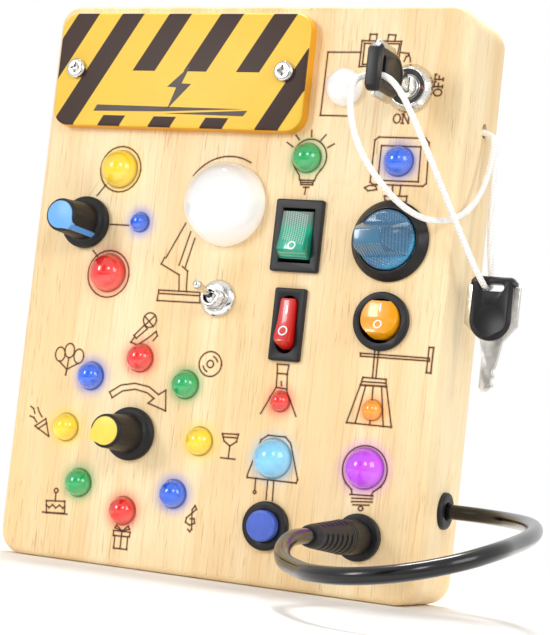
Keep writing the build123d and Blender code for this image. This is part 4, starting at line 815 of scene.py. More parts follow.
# ================================================================ pieces
class BUSYBOARD_OT_stage(bpy.types.Operator):
    """Camera, floor and soft studio lights"""

    bl_idname = "busyboard.stage"
    bl_label = "Stage"

    def execute(self, context):
        scene = context.scene
        scene.view_settings.view_transform = "Standard"
        surroundings(0.5)
        self.camera(scene)
        self.lamp("key", (-0.46, -0.85, 0.40), (0.0, 0.0, 0.12), (0.22, 0.34), 3.2)
        self.lamp("key_2", (0.50, -0.80, 0.52), (0.0, 0.0, 0.12), (0.18, 0.28), 1.7)
        self.lamp("fill", (0.85, -0.25, 0.42), (0.0, 0.0, 0.12), (0.4, 0.4), 2.5)
        self.lamp("top", (-0.08, 0.17, 0.95), (0.0, 0.0, 0.05), (0.35, 0.2), 9.0)
        self.flag("flag_middle", (0.02, -1.0, 0.45), (0.30, 0.7))
        self.flag("flag_low", (0.1, -0.9, -0.12), (1.6, 0.16))
        self.floor()
        return {"FINISHED"}

    @staticmethod
    def camera(scene):
        data = bpy.data.cameras.new("camera")
        data.sensor_fit = "AUTO"
        data.sensor_width = 36.0
        data.lens = 109.83
        holder = bpy.data.objects.new("camera", data)
        scene.collection.objects.link(holder)
        right = Vector((0.9017, 0.4182, 0.1098))
        up = Vector((-0.0675, -0.1147, 0.9911))
        back = Vector((0.4271, -0.9011, -0.0752))
        view = Matrix((right, up, back)).transposed().to_4x4()
        view.translation = (0.3627, -0.7369, 0.0499)
        holder.matrix_world = view
        scene.camera = holder

    @staticmethod
    def lamp(name, place, target, size, energy):
        data = bpy.data.lights.new(name, "AREA")
        data.shape = "RECTANGLE"
        data.size, data.size_y = size
        data.energy = energy
        holder = bpy.data.objects.new(name, data)
        bpy.context.scene.collection.objects.link(holder)
        way = Vector(target) - Vector(place)
        holder.rotation_euler = way.to_track_quat("-Z", "Y").to_euler()
        holder.location = place

    @staticmethod
    def flag(name, place, size):
        """A dark board that only polished pieces reflect."""
        shape = bmesh.new()
        bmesh.ops.create_grid(shape, x_segments=1, y_segments=1, size=0.5)
        bmesh.ops.scale(shape, vec=(*size, 1.0), verts=shape.verts)
        way = Vector((0.0, 0.0, 0.12)) - Vector(place)
        shape.transform(Matrix.Translation(place) @ way.to_track_quat("Z", "Y").to_matrix().to_4x4())
        mesh = bpy.data.meshes.new(name)
        shape.to_mesh(mesh)
        shape.free()
        mesh.materials.append(moulded(name, (0.02, 0.018, 0.016), roughness=0.9))
        holder = bpy.data.objects.new(name, mesh)
        bpy.context.scene.collection.objects.link(holder)
        holder.visible_camera = False
        holder.visible_diffuse = False
        holder.visible_shadow = False
        holder.visible_transmission = False
        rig.stage(holder)

    @staticmethod
    def floor():
        """A pale floor that keeps the shadow close to the board and fades out further away."""
        finish = Finish("floor")
        _, (x, y, _) = finish.place()
        reach = (x * x + y * y) ** 0.5
        edge = reach.ramp(210.0, 420.0)
        shape = lathe([(0.0, 0.0), (600.0, 0.0)], 64)
        shape.transform(Matrix.Translation((0.0, 0.0, -0.0002)) @ Matrix.Scale(MM, 4))
        bmesh.ops.recalc_face_normals(shape, faces=shape.faces)
        mesh = bpy.data.meshes.new("floor")
        shape.to_mesh(mesh)
        shape.free()
        finish.done(
            {
                "Base Color": (0.93, 0.91, 0.89),
                "Roughness": 0.7,
                "Alpha": 1.0 - edge,
                "Specular IOR Level": 0.1,
            }
        )
        mesh.materials.append(finish.material)
        holder = bpy.data.objects.new("floor", mesh)
        bpy.context.scene.collection.objects.link(holder)
        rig.stage(holder)


class BUSYBOARD_OT_cords(bpy.types.Operator):
    """Black jack lead and the white cord that ties both keys to the board"""

    bl_idname = "busyboard.cords"
    bl_label = "Cords"

    def execute(self, context):
        settings = context.scene.busy_cords
        self.lead(settings)
        self.key_cord(settings)
        return {"FINISHED"}

    @staticmethod
    def lead(settings):
        rubber = moulded("lead_rubber", tuple(settings.lead), roughness=0.22, grain=0.05, coat=0.25)
        line = smooth_line(CABLE_ROUTE)
        radius = settings.lead_radius / MM
        lead = tube(line, "lead", radius, None, "black_rubber", rubber, ["cable"], sides=8)
        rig.blend(lead, "board", "dc_plug", (0.0, 0.0, 0.036), (0.0, 0.0, 0.0255))
        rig.cord(
            lead,
            exit=(SIDE_X, GROMMET_AT[0] * MM, GROMMET_AT[1] * MM),
            length=line_length(line),
            diameter=2 * settings.lead_radius,
            far_end="plug",
            stiffness="medium",
            lay="loose",
            with_pieces=[frame["nodes"]["dc_plug"], frame["nodes"]["dc_plug_boot"]],
            path=line,
        )

    @staticmethod
    def braid(colour):
        finish = Finish("braid")
        vector, (x, _, z) = finish.place()
        strands = ((z * 5.2 + x * 2.2).sine() + (z * 5.2 - x * 2.2).sine()) * 0.25 + 0.5
        fine = finish.noise(vector, scale=2.4, detail=3.0)
        tint = finish.mix(strands.ramp(0.1, 0.5), tuple(part * 0.86 for part in colour), colour)
        return finish.done(
            {
                "Base Color": tint,
                "Roughness": fine * 0.2 + 0.62,
                "Sheen Weight": 0.3,
                "Normal": finish.bump(strands * 0.8 + fine * 0.2, 0.22),
            }
        )

    def key_cord(self, settings):
        """The cord in three lengths: from the hole to the lock, through the lock's key, and back."""
        white = self.braid(tuple(settings.cord))
        line = smooth_line(CORD_ROUTE)
        half = len(line) // 2
        low = min(range(half), key=lambda index: line[index][2])
        tied = 0.186
        first = next(index for index in range(low, len(line)) if line[index][2] > tied)
        second = next(index for index in range(first + 1, len(line)) if line[index][2] < tied)
        lengths = {
            "cord_left": (line[: first + 1], "board", "lock_plug", (0.090, -0.031, 0.15), (0.069, -0.066, 0.15)),
            "cord_loop": (line[first : second + 1], "lock_plug", "key", (0.07, -0.06, 0.186), (0.07, -0.06, 0.199)),
            "cord_right": (line[second:], "board", "lock_plug", (0.097, -0.028, 0.15), (0.085, -0.045, 0.15)),
        }
        radius = settings.cord_radius / MM
        for name, (part, still, moving, start, end) in lengths.items():
            length = tube(part, name, radius, None, "white_cord", white, ["key_cord"])
            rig.blend(length, still, moving, start, end)
            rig.cord(
                length,
                exit=part[-1] if name == "cord_right" else part[0],
                length=line_length(part),
                diameter=2 * settings.cord_radius,
                far_end="object",
                stiffness="limp",
                lay="hanging",
                path=part,
            )
        paint(white, "cord_knot")


class BUSYBOARD_OT_board(bpy.types.Operator):
    """Pine box with the lamps' coloured light on it, and its plywood back"""

    bl_idname = "busyboard.board"
    bl_label = "Board"

    def execute(self, context):
        settings = context.scene.busy_board
        lamps = context.scene.busy_lamps
        pine = self.pine("pine", settings, lamps)
        shape = copied("board_shell")
        put(shape, "board", Matrix(), "board", "pine", pine, ["board_shell"], smooth=28)
        paint(self.plywood(settings), "back_panel", "battery_door")
        return {"FINISHED"}

    @staticmethod
    def halo(finish, x, y, z, lamps, wood):
        """The wood with each lamp's light painted on it round the lamp on the front face, and a thin painted shadow
        ring at each lamp's edge, and that light alone.
        """
        front = (y < FRONT_Y / MM + 0.6) * lamps.halo
        light = (0.0, 0.0, 0.0)
        for place, radius, tint in all_lamps(lamps):
            across, up = x - place[0], z - place[1]
            distance = (across * across + up * up) ** 0.5
            reach = radius * 1.05 + 5.5
            mask = (1.0 - distance.ramp(radius * 0.75, reach, smooth=False)) ** 1.7 * front
            # Painted light: the lamp's colour is painted into the wood round it.
            wood = finish.mix(mask, wood, tuple(min(1.0, part * 0.9 + 0.06) for part in tint))
            light = finish.mix(mask, light, tint, "ADD")
            # Painted shadow: a thin dark ring at the edge of each lamp.
            rim = abs(distance - (radius + 0.15)).ramp(0.5, 0.25) * front
            wood = finish.mix(rim * 0.8, wood, tuple(part * 0.22 for part in tint))
        return wood, light

    def pine(self, name, settings, lamps):
        finish = Finish(name)
        _, (x, y, z) = finish.place()
        along = finish.vector(x * 0.055, y * 0.055, z * 0.006)
        bands = finish.noise(along, scale=1.0, detail=2.0, distortion=0.4)
        rings = (bands * 15.0).fract()
        ring_edge = (1.0 - abs(rings - 0.5) * 2.0).ramp(0.72, 1.0)
        fibres = finish.noise(finish.vector(x * 2.6, y * 2.6, z * 0.07), scale=1.0, detail=3.0, roughness=0.6)
        pores = finish.noise(finish.vector(x * 1.7, y * 1.7, z * 0.085), scale=1.0, detail=1.0)
        patches = finish.noise(finish.vector(x * 0.05, y * 0.05, z * 0.03), scale=1.0, detail=1.0)
        dashes = pores.ramp(0.64, 0.72) * patches.ramp(0.42, 0.6)
        long_lines = finish.noise(finish.vector(x * 0.9, y * 0.9, z * 0.012), scale=1.0, detail=2.0)
        tint = finish.mix(bands.ramp(0.3, 0.72), tuple(settings.wood), tuple(settings.wood_dark))
        tint = finish.mix(ring_edge * 0.22, tint, tuple(settings.wood_dark))
        tint = finish.mix(long_lines.ramp(0.54, 0.7) * 0.45, tint, tuple(settings.wood_dark))
        streaks = finish.noise(finish.vector(x * 1.3, y * 1.3, z * 0.018), scale=1.0, detail=3.0, roughness=0.65)
        tint = finish.mix(streaks.ramp(0.56, 0.68) * 0.4, tint, hex_colour("#d9a878"))
        tint = finish.mix(fibres.ramp(0.5, 0.8) * 0.3, tint, tuple(settings.streak))
        tint = finish.mix(dashes * 0.5, tint, tuple(settings.streak))
        tint, light = self.halo(finish, x, y, z, lamps, tint)
        return finish.done(
            {
                "Base Color": tint,
                "Roughness": fibres * 0.2 + 0.42,
                "Coat Weight": 0.06,
                "Emission Color": light,
                "Emission Strength": 0.22,
                "Normal": finish.bump(fibres * 0.6 + (1.0 - dashes) * 0.4, 0.09),
            }
        )

    @staticmethod
    def plywood(settings):
        finish = Finish("plywood")
        _, (x, y, z) = finish.place()
        flames = finish.noise(finish.vector(x * 0.03, y * 0.3, z * 0.008), scale=1.0, detail=2.0, distortion=0.8)
        rings = 1.0 - abs((flames * 11.0).fract() - 0.5) * 2.0
        fibres = finish.noise(finish.vector(x * 2.0, y * 2.0, z * 0.06), scale=1.0, detail=3.0)
        tint = finish.mix(rings.ramp(0.5, 1.0) * 0.5, hex_colour("#ecd2a4"), hex_colour("#d3a768"))
        tint = finish.mix(fibres.ramp(0.45, 0.8) * 0.3, tint, tuple(settings.streak))
        return finish.done(
            {
                "Base Color": tint,
                "Roughness": fibres * 0.2 + 0.5,
                "Normal": finish.bump(fibres, 0.07),
            }
        )


RING_COLOURS = ("red", "green", "yellow", "blue") * 2
SINGLE_LAMPS = {
    "yellow_dome": ((-57.4, 168.5), 8.0, "yellow"),
    "red_dome": ((-57.4, 123.5), 8.0, "red"),
    "white_dome": ((43.5, 206.0), 8.0, "white"),
    "light_blue_dome": ((29.5, 52.2), 8.0, "light_blue"),
    "purple_dome": ((69.9, 52.2), 8.0, "purple"),
    "green_lamp": ((30.0, 176.3), 6.0, "green"),
    "blue_lamp": ((70.6, 176.3), 6.0, "blue"),
    "small_blue_lamp": ((-44.7, 146.0), 4.0, "blue"),
    "small_red_lamp": ((30.0, 75.6), 4.0, "red"),
    "orange_lamp": ((70.6, 75.6), 4.0, "orange"),
    "big_dome": ((-4.5, 155.5), 18.0, "white"),
}
RING_LAMP_RADIUS = 5.75
RING_LAMP_CIRCLE = 32.3


def ring_lamps():
    """Each lamp round the ring knob, clockwise from the top: its place and its colour's name."""
    for index, name in enumerate(RING_COLOURS):
        turn = radians(90 - 45 * index)
        x = RING_KNOB_AT[0] + RING_LAMP_CIRCLE * cos(turn)
        z = RING_KNOB_AT[1] + RING_LAMP_CIRCLE * sin(turn)
        yield (x, z), name


def all_lamps(lamps):
    """Place, radius and colour of each coloured lamp."""
    for place, name in ring_lamps():
        yield place, RING_LAMP_RADIUS, tuple(getattr(lamps, name))
    for place, radius, name in SINGLE_LAMPS.values():
        if name != "white":
            yield place, radius, tuple(getattr(lamps, name))


class BUSYBOARD_OT_lamps(bpy.types.Operator):
    """Domed lenses of every lamp"""

    bl_idname = "busyboard.lamps"
    bl_label = "Lamps"

    def execute(self, context):
        lamps = context.scene.busy_lamps
        for node, (place, radius, name) in SINGLE_LAMPS.items():
            finish = self.lens(node, lamps, name, [place], radius)
            put(self.shape(radius), f"{node}_lens", at_face(*place), "board", f"{name}_lens", finish, [node])
        for name in dict.fromkeys(RING_COLOURS):
            places = [place for place, other in ring_lamps() if other == name]
            finish = self.lens(f"ring_{name}", lamps, name, places, RING_LAMP_RADIUS)
            lenses = merged(*((self.shape(RING_LAMP_RADIUS), at_face(*place)) for place in places))
            put(lenses, f"ring_{name}_lenses", Matrix(), "board", "mixed_lens", finish, ["ring_lamps"])
        return {"FINISHED"}

    @staticmethod
    def shape(radius):
        """Dome on a low flange, with its stem through the wall."""
        stem = radius - 1.2
        edge = radius - 0.45
        dome = [(radius * cos(radians(turn)) * 0.985, 0.8 + radius * sin(radians(turn))) for turn in range(4, 90, 4)]
        outline = [(0.0, -12.0), (stem, -12.0), (stem, 0.0), (edge + 0.3, 0.0), (radius, 0.25), (radius, 0.6)]
        return lathe(outline + dome + [(0.0, radius + 0.8)], 96 if radius > 10 else 64)

    @staticmethod
    def lens(name, lamps, colour_name, places, radius):
        """Frosted lens with light and shade painted on it: deeper at its upper left as painted shade, paler at its
        lower right as painted light coming through, and darker round its base as painted shade.
        """
        colour = tuple(getattr(lamps, colour_name))
        finish = Finish(name + "_lens")
        vector, (x, y, z) = finish.place()
        shift, low = None, FRONT_Y / MM - y
        for place in places:
            across, up = (x - place[0]) / radius, (z - place[1]) / radius
            near = (across * across + up * up < 1.3) * (across * 0.6 - up * 0.8)
            shift = near if shift is None else shift + near
        pale = tuple(min(1.0, part * 0.6 + 0.4) for part in colour)
        deep = tuple(part * 0.72 for part in colour)
        fine = finish.noise(vector, scale=0.5, detail=2.0)
        # Painted light and shade: deeper towards the upper left, paler towards the lower right.
        tint = finish.mix(shift.ramp(-0.9, 0.35), deep, colour)
        base = 0.15 if colour_name == "white" else 0.6
        # Painted shade: darker round the base, where the lens meets its flange and the wood.
        tint = finish.mix(low.ramp(2.4, 0.3) * base, tint, tuple(part * 0.4 for part in colour))
        tint = finish.mix(shift.ramp(0.15, 1.0) * (0.1 if colour_name == "white" else 0.2), tint, pale)
        strength = 0.16 if colour_name == "white" else lamps.glow
        return finish.done(
            {
                "Base Color": tint,
                "Roughness": fine * 0.08 + 0.16,
                "Coat Weight": 1.0,
                "Coat Roughness": 0.02,
                "Subsurface Weight": 0.08,
                "Subsurface Radius": (0.004, 0.004, 0.004),
                "Subsurface Scale": 0.5,
                "Emission Color": tint,
                "Emission Strength": strength,
            }
        )


class BUSYBOARD_OT_sign(bpy.types.Operator):
    """Thick sign plate with slanting stripes at both ends and a lightning bolt between them"""

    bl_idname = "busyboard.sign"
    bl_label = "Sign"

    def execute(self, context):
        settings = context.scene.busy_board
        low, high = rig.box("sign_plate")
        width, height = (high.x - low.x) / MM, (high.z - low.z) / MM
        plate = slab(width, height, 0.0, 6.0, corner=7.5, soft=1.2, steps=10)
        spot = at_face(*SIGN_AT)
        put(plate, "sign", spot, "board", "sign_paint", self.paint(settings), ["sign_plate"])
        dark = moulded("sign_print", tuple(settings.sign_dark), roughness=0.38, grain=0.05)
        put(self.prints(), "sign_print", spot, "board", "sign_paint", dark)
        return {"FINISHED"}

    @staticmethod
    def paint(settings):
        """Printed stripes on a yellow plate, slightly scuffed, with a plain band across its middle."""
        finish = Finish("sign_paint")
        vector, (x, y, z) = finish.place()
        leaning = x - (z - SIGN_AT[1]) * 0.6
        width = settings.stripe_width / MM
        stripes = None
        for edge in (-98.6, -76.5, -53.5, -28.8, -4.0, 21.8):
            stripe = abs(leaning - (edge + width / 2)).ramp(width / 2 + 0.12, width / 2 - 0.12, smooth=False)
            stripes = stripe if stripes is None else stripes.most(stripe)
        band = (abs(z - 200.6) < 9.8) * (abs(x + 30.8 - (z - 200.6) * 0.4) < 35.5)
        face = (y < FRONT_Y / MM - 5.5) * 1.0
        ink = stripes * (1.0 - band) * face
        wide = finish.noise(vector, scale=0.06, detail=3.0)
        fine = finish.noise(vector, scale=4.0, detail=3.0)
        yellow = tuple(settings.sign_yellow)
        ground = finish.mix(wide.ramp(0.3, 0.7), tuple(part * 0.95 for part in yellow), yellow)
        ground = finish.mix(face, hex_colour("#e9a522"), ground)
        return finish.done(
            {
                "Base Color": finish.mix(ink, ground, tuple(settings.sign_dark)),
                "Roughness": fine * 0.1 + ink * 0.05 + 0.34,
                "Specular IOR Level": 0.25,
                "Normal": finish.bump(fine * 0.4 + ink * 0.6, 0.04),
            }
        )

    @staticmethod
    def prints():
        """A lightning bolt in the plain band, over two long tapering bars."""
        bolt = [(4.6, 10.6), (-5.6, 1.2), (-1.2, 1.0), (-4.4, -8.4), (5.8, 2.6), (1.2, 2.8)]
        upper = [(-36.8, -6.6), (-38.4, -9.4), (-6.0, -9.0), (34.0, -7.2)]
        lower = [(35.6, -7.8), (33.8, -10.2), (-4.0, -9.8), (8.0, -9.2)]
        outlines = [[(x + 1.0, y - 8.4) for x, y in bolt]]
        outlines += [[(x - 1.0, y - 8.9) for x, y in bar] for bar in (upper, lower)]
        return merged(*(prism(outline, 5.99, 6.03) for outline in outlines))


class BUSYBOARD_OT_drawings(bpy.types.Operator):
    """Line drawings burnt into the wood beside the lamps and switches"""

    bl_idname = "busyboard.drawings"
    bl_label = "Drawings"

    def execute(self, context):
        settings = context.scene.busy_board
        width = settings.line_width / MM
        burnt = self.burnt("burnt_line", tuple(settings.burnt), 1.0)
        scorch = self.burnt("scorched_edge", hex_colour("#a8703c"), 0.28)
        self.strokes("drawings", width, 0.05, burnt)
        self.strokes("drawings_scorch", width * 2.4, 0.025, scorch)
        return {"FINISHED"}

    @staticmethod
    def burnt(name, colour, strength):
        finish = Finish(name)
        _, (x, y, z) = finish.place()
        uneven = finish.noise(finish.vector(x * 0.9, y * 0.9, z * 0.5), scale=1.0, detail=3.0, roughness=0.7)
        sockets = {
            "Base Color": finish.mix(uneven.ramp(0.35, 0.75), colour, tuple(part * 1.9 + 0.01 for part in colour)),
            "Roughness": uneven * 0.2 + 0.6,
        }
        if strength < 1.0:
            sockets["Alpha"] = uneven.ramp(0.2, 0.8) * strength + strength * 0.4
        return finish.done(sockets)

    @staticmethod
    def strokes(name, width, proud, finish):
        """Every line as a flat rounded bar that lies on the front face."""
        curve = bpy.data.curves.new(name, "CURVE")
        curve.dimensions = "3D"
        curve.bevel_depth = width / 2
        curve.bevel_resolution = 2
        curve.use_fill_caps = True
        for points in smooth_runs(drawn_lines(), width * 0.4):
            line = curve.splines.new("POLY")
            line.points.add(len(points) - 1)
            for held, (x, z) in zip(line.points, points):
                held.co = (x, z, 0.0, 1.0)
        mesh = as_mesh(curve)
        flat = Matrix.Diagonal((1.0, 1.0, 2 * proud / width, 1.0))
        mesh.transform(at_face(0.0, 0.0) @ flat)
        mesh.shade_smooth()
        add(mesh, name, "board", "pine", finish)


def smooth_runs(lines, overlap):
    """Lines cut at their sharp corners, each end a little longer so that the bars meet there."""
    for line in lines:
        points = [Vector(point) for point in line]
        start = 0
        for index in range(1, len(points)):
            last = index == len(points) - 1
            before = points[index] - points[index - 1]
            if not last and before.angle(points[index + 1] - points[index]) < radians(32):
                continue
            run = points[start : index + 1]
            run[0] = run[0] - (run[1] - run[0]).normalized() * overlap
            run[-1] = run[-1] + (run[-1] - run[-2]).normalized() * overlap
            yield run
            start = index


def ring(x, z, radius, start=0, end=360, steps=24):
    return arc((x, z), radius, start, end, steps)


def closed(*points):
    return [*points, points[0]]


def word(letters, x, z, height, upright=True):
    """Serif capitals from strokes on a grid one unit high."""
    shapes = {
        "O": (0.95, [[(0.42 + 0.4 * cos(radians(t)), 0.5 + 0.5 * sin(radians(t))) for t in range(0, 361, 24)]]),
        "N": (
            1.12,
            [[(0.15, 0), (0.15, 1), (0.85, 0), (0.85, 1)], [(0, 1), (0.3, 1)], [(0.7, 1), (1, 1)], [(0, 0), (0.3, 0)]],
        ),
        "F": (
            0.85,
            [[(0.15, 0), (0.15, 1), (0.72, 1), (0.72, 0.82)], [(0.15, 0.52), (0.55, 0.52)], [(0, 0), (0.32, 0)]],
        ),
    }
    pen = 0.0
    for letter in letters:
        width, strokes = shapes[letter]
        for stroke in strokes:
            grid = [((pen + a) * height, b * height) for a, b in stroke]
            yield [(x + a, z + b) if upright else (x - b, z + a) for a, b in grid]
        pen += width


def drawn_lines():
    """Each burnt line as its points on the front face, x and z in mm."""
    lines = []
    # Battery in its circuit
    lines += [
        closed((48.8, 225.6), (66.2, 225.4), (65.6, 215.6), (48.7, 214.8)),
        closed((50.1, 224.5), (65.5, 224.4), (64.7, 217.0), (50.1, 215.7)),
        [(52.1, 225.6), (52.1, 228.3), (55.1, 228.3), (55.2, 225.4)],
        [(60.1, 225.4), (60.3, 228.2), (63.4, 228.0), (63.2, 225.4)],
        [(48.9, 220.8), (34.1, 220.7), (33.8, 194.2), (46.4, 194.2)],
        [(66.5, 220.8), (69.8, 220.5), (70.0, 219.7)],
        [(68.2, 217.2), (69.0, 219.2), (70.0, 219.7), (70.7, 218.7), (70.9, 217.1)],
        [(52.6, 220.6), (55.8, 220.6)],
        [(54.2, 219.0), (54.2, 222.2)],
        [(60.2, 220.4), (63.2, 220.4)],
    ]
    lines += word("ON", 66.2, 191.8, 3.7)
    lines += word("OFF", 85.8, 203.2, 3.5, upright=False)
    # Bulb round the green lamp
    lines += [
        [(20.1, 182.5), (23.0, 180.7)],
        [(23.7, 185.7), (25.5, 183.8)],
        [(30.7, 187.9), (30.9, 185.2)],
        [(37.3, 186.2), (35.2, 183.7)],
        [(41.4, 182.5), (38.7, 180.9)],
        ring(31.0, 176.6, 7.6, -42, 222),
        [(25.4, 171.5), (27.2, 169.0), (27.6, 167.1)],
        [(36.6, 171.5), (34.9, 169.0), (34.4, 167.1)],
        closed((28.0, 167.0), (34.0, 167.0), (33.7, 165.2), (28.4, 165.2)),
        [(28.6, 166.1), (33.6, 166.1)],
        [(29.6, 164.1), (32.2, 164.1)],
        [(30.8, 164.1), (30.6, 161.2)],
    ]
    # Screen round the blue lamp
    lines += [
        closed(
            (59.0, 167.4), (59.2, 184.6), (60.8, 185.9), (81.0, 185.9),
            (82.7, 184.2), (83.3, 167.6), (81.9, 166.5), (60.2, 166.5),
        ),
        closed((62.3, 168.2), (62.3, 182.4), (79.4, 182.4), (79.8, 168.2)),
        [(69.0, 166.5), (69.4, 162.6)],
        [(72.5, 166.5), (72.4, 162.6)],
        closed((65.9, 161.9), (75.6, 162.2), (75.5, 159.8), (66.4, 160.0)),
        closed((56.9, 165.0), (59.0, 166.0), (61.7, 165.8), (62.2, 164.4), (58.5, 163.7)),
    ]
    # Desk lamp under the large dome
    lines += [
        [(-22.8, 146.6), (-30.4, 131.4)],
        [(-20.0, 143.1), (-23.7, 128.7)],
        [(-17.7, 140.4), (-20.7, 127.9)],
        [(-31.0, 131.6), (-32.3, 128.7), (-23.2, 124.6), (-22.4, 117.8)],
        [(-18.9, 117.8), (-19.4, 126.4), (-22.1, 128.2)],
        closed((-32.0, 117.6), (-32.3, 113.1), (-11.9, 113.4), (-12.4, 117.8)),
        [(-31.4, 116.2), (-12.4, 116.4)],
        ring(-5.0, 155.6, 20.2, 62, 146),
    ]
    # Lines from the pointer knob to its lamps
    lines += [
        [(-63.8, 161.5), (-67.5, 156.6)],
        [(-50.2, 144.4), (-59.4, 144.4)],
        [(-62.8, 129.3), (-66.3, 132.7)],
        ring(-57.4, 168.5, 9.9),
        ring(-57.4, 123.0, 10.1),
    ]
    # Balloons, microphone and record above the ring of lamps
    for x, z in ((-76.5, 86.9), (-72.0, 88.8), (-67.2, 86.7)):
        lines += [[(x + 2.4 * cos(radians(t)), z + 3.1 * sin(radians(t))) for t in range(0, 361, 24)]]
        lines += [[(x, z - 3.1), (-72.4, 80.6), (-72.6, 78.2)]]
    lines += [
        ring(-34.6, 104.6, 3.1),
        [(-37.2, 106.0), (-32.6, 102.0)],
        [(-36.6, 102.4), (-32.4, 106.6)],
        closed((-37.0, 102.2), (-41.4, 97.6), (-40.2, 96.4), (-35.4, 100.8)),
        [(-41.0, 97.0), (-42.6, 94.6), (-39.2, 93.6), (-34.2, 97.2), (-31.0, 100.0), (-30.2, 98.2), (-31.9, 96.0)],
        ring(-3.8, 88.3, 5.2),
        ring(-3.8, 88.3, 1.5),
        ring(-3.8, 88.3, 3.4, 20, 70, 6),
        ring(-3.8, 88.3, 3.4, 200, 250, 6),
    ]
    # Arrow that turns round the ring knob
    lines += [
        closed(
            (-50.0, 72.7), (-48.5, 70.4), (-43.8, 73.7), (-37.8, 74.9), (-31.9, 73.9), (-28.4, 71.8), (-30.9, 69.6),
            (-22.2, 67.1), (-23.2, 75.7), (-26.4, 73.6), (-31.4, 76.5), (-38.3, 77.4), (-44.9, 76.1),
        ),
    ]
    # Party popper, glass, cake, clef and present round the ring of lamps
    lines += [
        closed((-84.9, 55.0), (-79.9, 58.6), (-77.4, 51.2)),
        [(-83.2, 54.0), (-79.2, 56.8)],
        [(-88.2, 63.3), (-86.6, 62.4), (-85.7, 60.4)],
        [(-84.6, 63.1), (-83.6, 61.2), (-81.9, 59.2)],
        [(-88.0, 59.1), (-86.0, 58.6), (-84.2, 56.7)],
        closed((5.4, 60.1), (12.8, 60.5), (12.2, 57.4), (9.4, 55.4), (6.5, 57.2)),
        [(6.0, 58.8), (12.4, 59.0)],
        [(9.4, 55.4), (9.3, 50.7)],
        [(5.8, 50.2), (12.4, 50.2)],
        closed((-74.8, 23.8), (-65.6, 24.5), (-65.1, 19.4), (-74.1, 18.7)),
        [(-74.6, 22.0), (-73.0, 21.0), (-71.4, 22.4), (-69.8, 21.2), (-68.0, 22.6), (-66.2, 21.4), (-65.4, 22.4)],
        [(-70.4, 24.2), (-70.5, 27.2)],
        ring(-70.5, 28.6, 0.9),
        [(-76.1, 18.8), (-63.8, 19.2)],
        [(-5.6, 19.4), (-4.6, 18.6), (-3.8, 19.6), (-4.6, 27.6), (-3.4, 29.4), (-2.6, 28.0), (-6.8, 24.0), (-7.0, 22.2),
         (-5.0, 21.2), (-2.8, 22.2), (-3.2, 24.0), (-5.0, 23.8)],
        closed((-40.3, 15.0), (-32.4, 15.1), (-32.5, 13.1), (-40.2, 12.9)),
        [(-39.4, 12.9), (-39.4, 7.7), (-33.1, 7.8), (-33.3, 13.0)],
        [(-36.3, 15.0), (-36.3, 7.7)],
        [(-36.3, 15.1), (-39.2, 17.4), (-39.8, 16.2), (-36.3, 15.1), (-33.6, 17.5), (-32.8, 16.3), (-36.3, 15.1)],
    ]
    # Torch over the small red lamp
    lines += [
        closed((26.8, 90.7), (32.0, 90.7), (31.7, 86.9), (27.2, 86.9)),
        [(27.2, 86.9), (27.4, 81.2), (21.7, 69.9)],
        [(31.7, 86.9), (32.4, 79.8), (37.6, 70.2)],
        [(27.4, 81.2), (32.2, 80.8)],
        [(29.4, 83.6), (29.7, 82.0)],
        [(25.0, 77.0), (34.4, 76.4)],
    ]
    # Wall lamp over the orange lamp
    lines += [
        [(68.9, 99.7), (69.1, 88.7)],
        [(70.5, 99.8), (70.6, 88.5)],
        closed((62.8, 97.9), (92.3, 98.1), (92.4, 97.0), (63.0, 96.7)),
        closed((91.8, 102.4), (93.6, 102.4), (93.5, 92.3), (91.7, 92.3)),
        closed((65.0, 88.3), (75.0, 88.3), (75.4, 85.4), (64.3, 85.2)),
        [(64.8, 86.6), (75.2, 86.8)],
        closed((64.3, 85.2), (75.5, 85.5), (79.4, 69.6), (60.0, 69.7)),
        [(66.6, 85.2), (63.8, 69.9)],
        [(69.8, 85.3), (70.1, 69.7)],
        [(73.4, 85.4), (75.9, 69.6)],
    ]
    # Table lamp round the light blue dome
    lines += [
        [(18.8, 43.4), (18.8, 44.5), (23.3, 59.3), (26.2, 61.4), (34.0, 61.4), (36.6, 59.1), (41.4, 44.8), (41.0, 43.4)],
        [(18.8, 43.4), (41.0, 43.4)],
        [(22.7, 43.4), (22.9, 38.4)],
        ring(22.9, 37.8, 0.6),
        [(28.2, 43.2), (28.4, 35.4)],
        [(30.9, 43.2), (31.3, 35.2)],
    ]
    # Bulb round the purple dome
    lines += [
        ring(70.0, 51.7, 9.6, -38, 218),
        [(62.4, 45.8), (65.2, 43.4), (65.7, 41.6)],
        [(77.6, 45.8), (74.6, 43.4), (73.9, 41.8)],
        [(64.8, 41.4), (74.8, 41.8)],
        [(65.8, 40.0), (74.6, 40.6)],
        [(65.8, 38.6), (74.7, 39.4)],
        [(66.6, 37.4), (73.4, 38.0)],
        ring(70.0, 36.3, 0.9),
    ]
    return lines


def switch_settings(context):
    return context.scene.busy_switches


